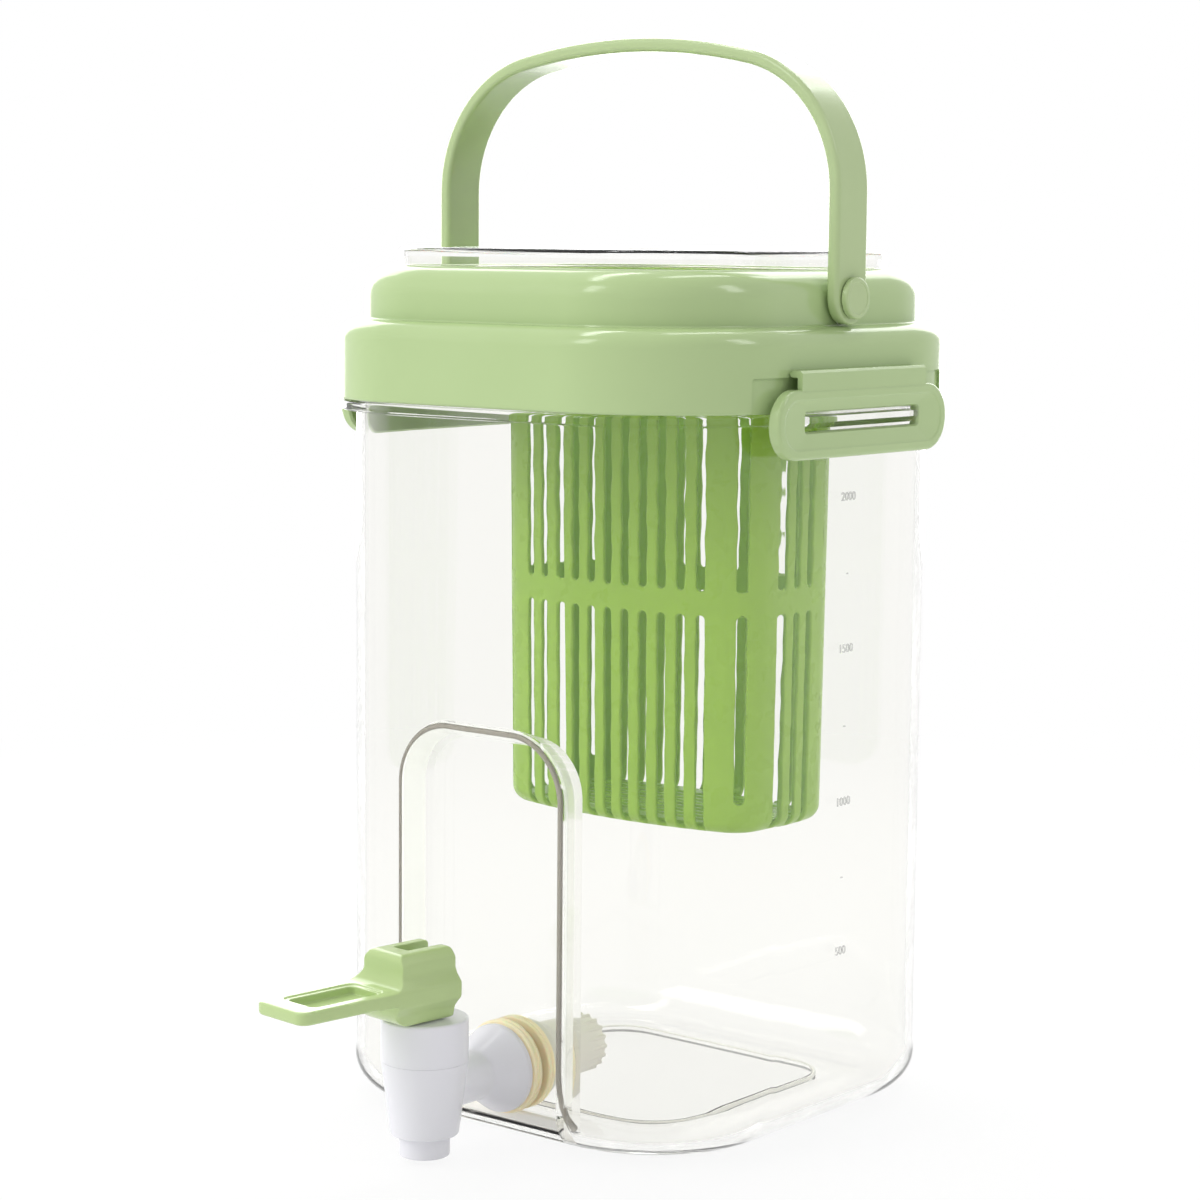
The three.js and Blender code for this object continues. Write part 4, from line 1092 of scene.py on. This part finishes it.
# Lever: a block with winged sides and a flat pad with a window, melted together and then smoothed
pad_low, pad_high, window_middle = 41.9, 45.1, (0, -27.85)
foot_radius, foot_y, foot_z = 6.2, -9.7, 41.8
foot_arc = []
for step in range(11):
    angle = math.pi / 2 * step / 10
    foot_arc.append((foot_y - foot_radius * math.cos(angle), foot_z - foot_radius * math.sin(angle), 0))
side_view = filleted([
    (3.5, 35.6, 0.8),
    (3.5, 52.8, 1.2),
    (-8.8, 52.8, 0),
    (-12.9, 52.8, 3.6),
    (-12.9, pad_high, 4.1),
    (-22, pad_high, 0),
    (-22, pad_low, 0),
    *foot_arc,
], steps=12)
half_end = [
    (6.4, 35.6, 1.2), (6.9, 38.5, 2.2), (9.3, 41.2, 1.8), (9.5, 44.6, 2.0),
    (7.1, 47.6, 2.6), (7.2, 50.4, 2.0), (5.4, 52.8, 1.6),
]
end_view = filleted([*half_end, *[(-x, z, fillet) for x, z, fillet in half_end[::-1]]], steps=6)
lever = made("lever", prism(side_view, -11, 11, "X"), lever_place)
shaped(lever, "INTERSECT", made("ends", prism(end_view, -30, 10, "Y"), lever_place))
pad_corners = [
    (9.5, -8, 3), (9.5, 3.4, 2.4), (-9.5, 3.4, 2.4),
    (-9.5, -8, 3), (-8.9, -44.2, 3), (8.9, -44.2, 3),
]
pad_outline = [Vector(point) for point in filleted(pad_corners, steps=8)]
shaped(lever, "UNION", made("pad", plate([pad_outline], pad_low, pad_high, 0.8, 3), lever_place))
shaped(lever, "DIFFERENCE",
       made("fork", prism([(-2.6, -7.5), (2.6, -7.5), (2.6, 9), (-2.6, 9)], 30, 60, "Z"), lever_place),
       made("window", prism(round_rect(4.9, 9.65, 1.4, window_middle, 6), 42.8, 50, "Z"), lever_place),
       made("rim", prism(round_rect(6.1, 10.9, 2.2, window_middle, 6), 44.7, 50, "Z"), lever_place),
       at_pin("way", 1.6, -5.1, 5.1, "X", 48))
moulded(lever, 0.2, 7)
lever.name = "lever_handle"
dressed(lever, "lever", lever_plastic, ["tap_lever"], 80, False)

# Level marks moulded on the container's right side
faint = grained("level_mark", 300, ((0.6, 0.61, 0.6, 1), (0.55, 0.56, 0.55, 1)), 500, 0.2, 0.25,
                IOR=1.2, Alpha=0.3)
marks = [("500", 44), ("1000", 81.4), ("1500", 119.3), ("2000", 156.5), ("-", 62.7), ("-", 100.4), ("-", 138)]
mark_parts = []
for word, height in marks:
    words = bpy.data.curves.new("number", "FONT")
    words.body = word
    words.size = 3.0
    words.extrude = 0.15
    words.align_x = "CENTER"
    holder = bpy.data.objects.new("number", words)
    bpy.context.scene.collection.objects.link(holder)
    graph = bpy.context.evaluated_depsgraph_get()
    mesh = bpy.data.meshes.new_from_object(holder.evaluated_get(graph), depsgraph=graph)
    mark_parts.append(([(body_half + 0.12 + v.co.z, 2 + v.co.x, height + v.co.y) for v in mesh.vertices],
                       [list(face.vertices) for face in mesh.polygons]))
    bpy.data.objects.remove(holder)
numbers = made("level_numbers", joined(*mark_parts))
dressed(numbers, "vessel", faint, (), 30, False)

# Stage
floor_corners = [(4000 * x, 4000 * y, -0.2) for x, y in ((-1, -1), (1, -1), (1, 1), (-1, 1))]
floor = made("floor", (floor_corners, [[0, 1, 2, 3]]))
ground = Finish("floor_paper")
path = ground.node("ShaderNodeLightPath")
seen = Value(ground, path.outputs["Is Camera Ray"]).highest(Value(ground, path.outputs["Is Glossy Ray"]))
seen = seen.highest(Value(ground, path.outputs["Is Transmission Ray"]))
# The paper shows its shadow near the dispenser and is plain white farther off
place = ground.node("ShaderNodeTexCoord").outputs["Object"]
reach = ground.node("ShaderNodeVectorMath", {"operation": "LENGTH"}, {0: place})
fade = ground.node("ShaderNodeMapRange", {"interpolation_type": "SMOOTHSTEP"}, {
    "Value": reach.outputs["Value"],
    "From Min": 0.16,
    "From Max": 0.6,
    "To Min": 0.9,
    "To Max": 1.0,
})
glow = ground.node("ShaderNodeEmission", None, {"Color": (1, 1, 1, 1), "Strength": 1.0})
paper = ground.node("ShaderNodeBsdfDiffuse", None, {"Color": (0.86, 0.86, 0.86, 1)})
share = seen * Value(ground, fade.outputs[0])
both = ground.node("ShaderNodeMixShader", None, {0: share, 1: paper.outputs[0], 2: glow.outputs[0]})
ground.tree.links.new(both.outputs[0], ground.tree.nodes["Material Output"].inputs[0])
floor.data.materials.append(ground.material)

world = bpy.data.worlds.new("studio")
bpy.context.scene.world = world
world.use_nodes = True
sky = Graph(world.node_tree)
sky.tree.nodes.clear()
rays = sky.node("ShaderNodeLightPath")
seen_sky = rays.outputs["Is Camera Ray"]
for kind in ("Is Glossy Ray", "Is Transmission Ray"):
    either = sky.node("ShaderNodeMath", {"operation": "MAXIMUM"}, {0: seen_sky, 1: rays.outputs[kind]})
    seen_sky = either.outputs[0]
# Dimmer where it lights the dispenser than where it is seen
dim, bright = [
    sky.node("ShaderNodeBackground", None, {"Color": (1, 1, 1, 1), "Strength": strength}).outputs[0]
    for strength in (0.55, 1.0)
]
sky_mix = sky.node("ShaderNodeMixShader", None, {0: seen_sky, 1: dim, 2: bright})
sky.node("ShaderNodeOutputWorld", None, {0: sky_mix.outputs[0]})


def softbox(name, place, aim, size, power, seen_through=True):
    lamp = bpy.data.lights.new(name, "AREA")
    lamp.shape = "RECTANGLE"
    lamp.size, lamp.size_y = size
    lamp.energy = power
    holder = bpy.data.objects.new(name, lamp)
    bpy.context.scene.collection.objects.link(holder)
    holder.visible_camera = holder.visible_transmission = seen_through
    holder.location = place
    holder.rotation_mode = "QUATERNION"
    holder.rotation_quaternion = (Vector(aim) - Vector(place)).to_track_quat("-Z", "Y")
    return holder


key = softbox("key", (-0.9, -1.2, 1.0), (0, 0, 0.12), (0.9, 0.9), 11)
key.visible_glossy = False
softbox("glint_left", (-0.36, -1.0, 0.95), (0, 0, 0.2), (0.26, 0.5), 1.8)
softbox("glint_right", (0.97, 0.26, 0.95), (0, 0, 0.2), (0.26, 0.5), 1.8)
softbox("strip_left", (-0.55, 0.03, 1.45), (-0.3, 0.03, 0), (1.1, 0.14), 4)
softbox("strip_back", (0, 0.8, 1.45), (0, 0.5, 0), (0.14, 1.4), 4)
softbox("panel", (-0.48, 0.58, 0.42), (0, 0, 0.15), (1.3, 0.8), 10, False)

# Camera at the photograph's place
turn, pitch, roll = math.radians(39.28), math.radians(6.92), math.radians(0.5)
right = Vector((math.cos(turn), math.sin(turn), 0))
ahead = Vector((-math.sin(turn) * math.cos(pitch), math.cos(turn) * math.cos(pitch), -math.sin(pitch)))
above = right.cross(ahead)
across = right * math.cos(roll) + above * math.sin(roll)
above = across.cross(ahead)
camera = bpy.data.objects.new("camera", bpy.data.cameras.new("camera"))
bpy.context.scene.collection.objects.link(camera)
turn_matrix = Matrix((across, above, -ahead)).transposed().to_4x4()
camera_place, focal_pixels, photo_pixels = Vector((477.7, -600.3, 220.1)), 3017.5, 1200
camera.matrix_world = Matrix.Translation(whole @ camera_place) @ turn_matrix
camera.data.sensor_width = 36
camera.data.lens = focal_pixels / photo_pixels * camera.data.sensor_width
bpy.context.scene.camera = camera
bpy.context.scene.view_settings.view_transform = "Standard"
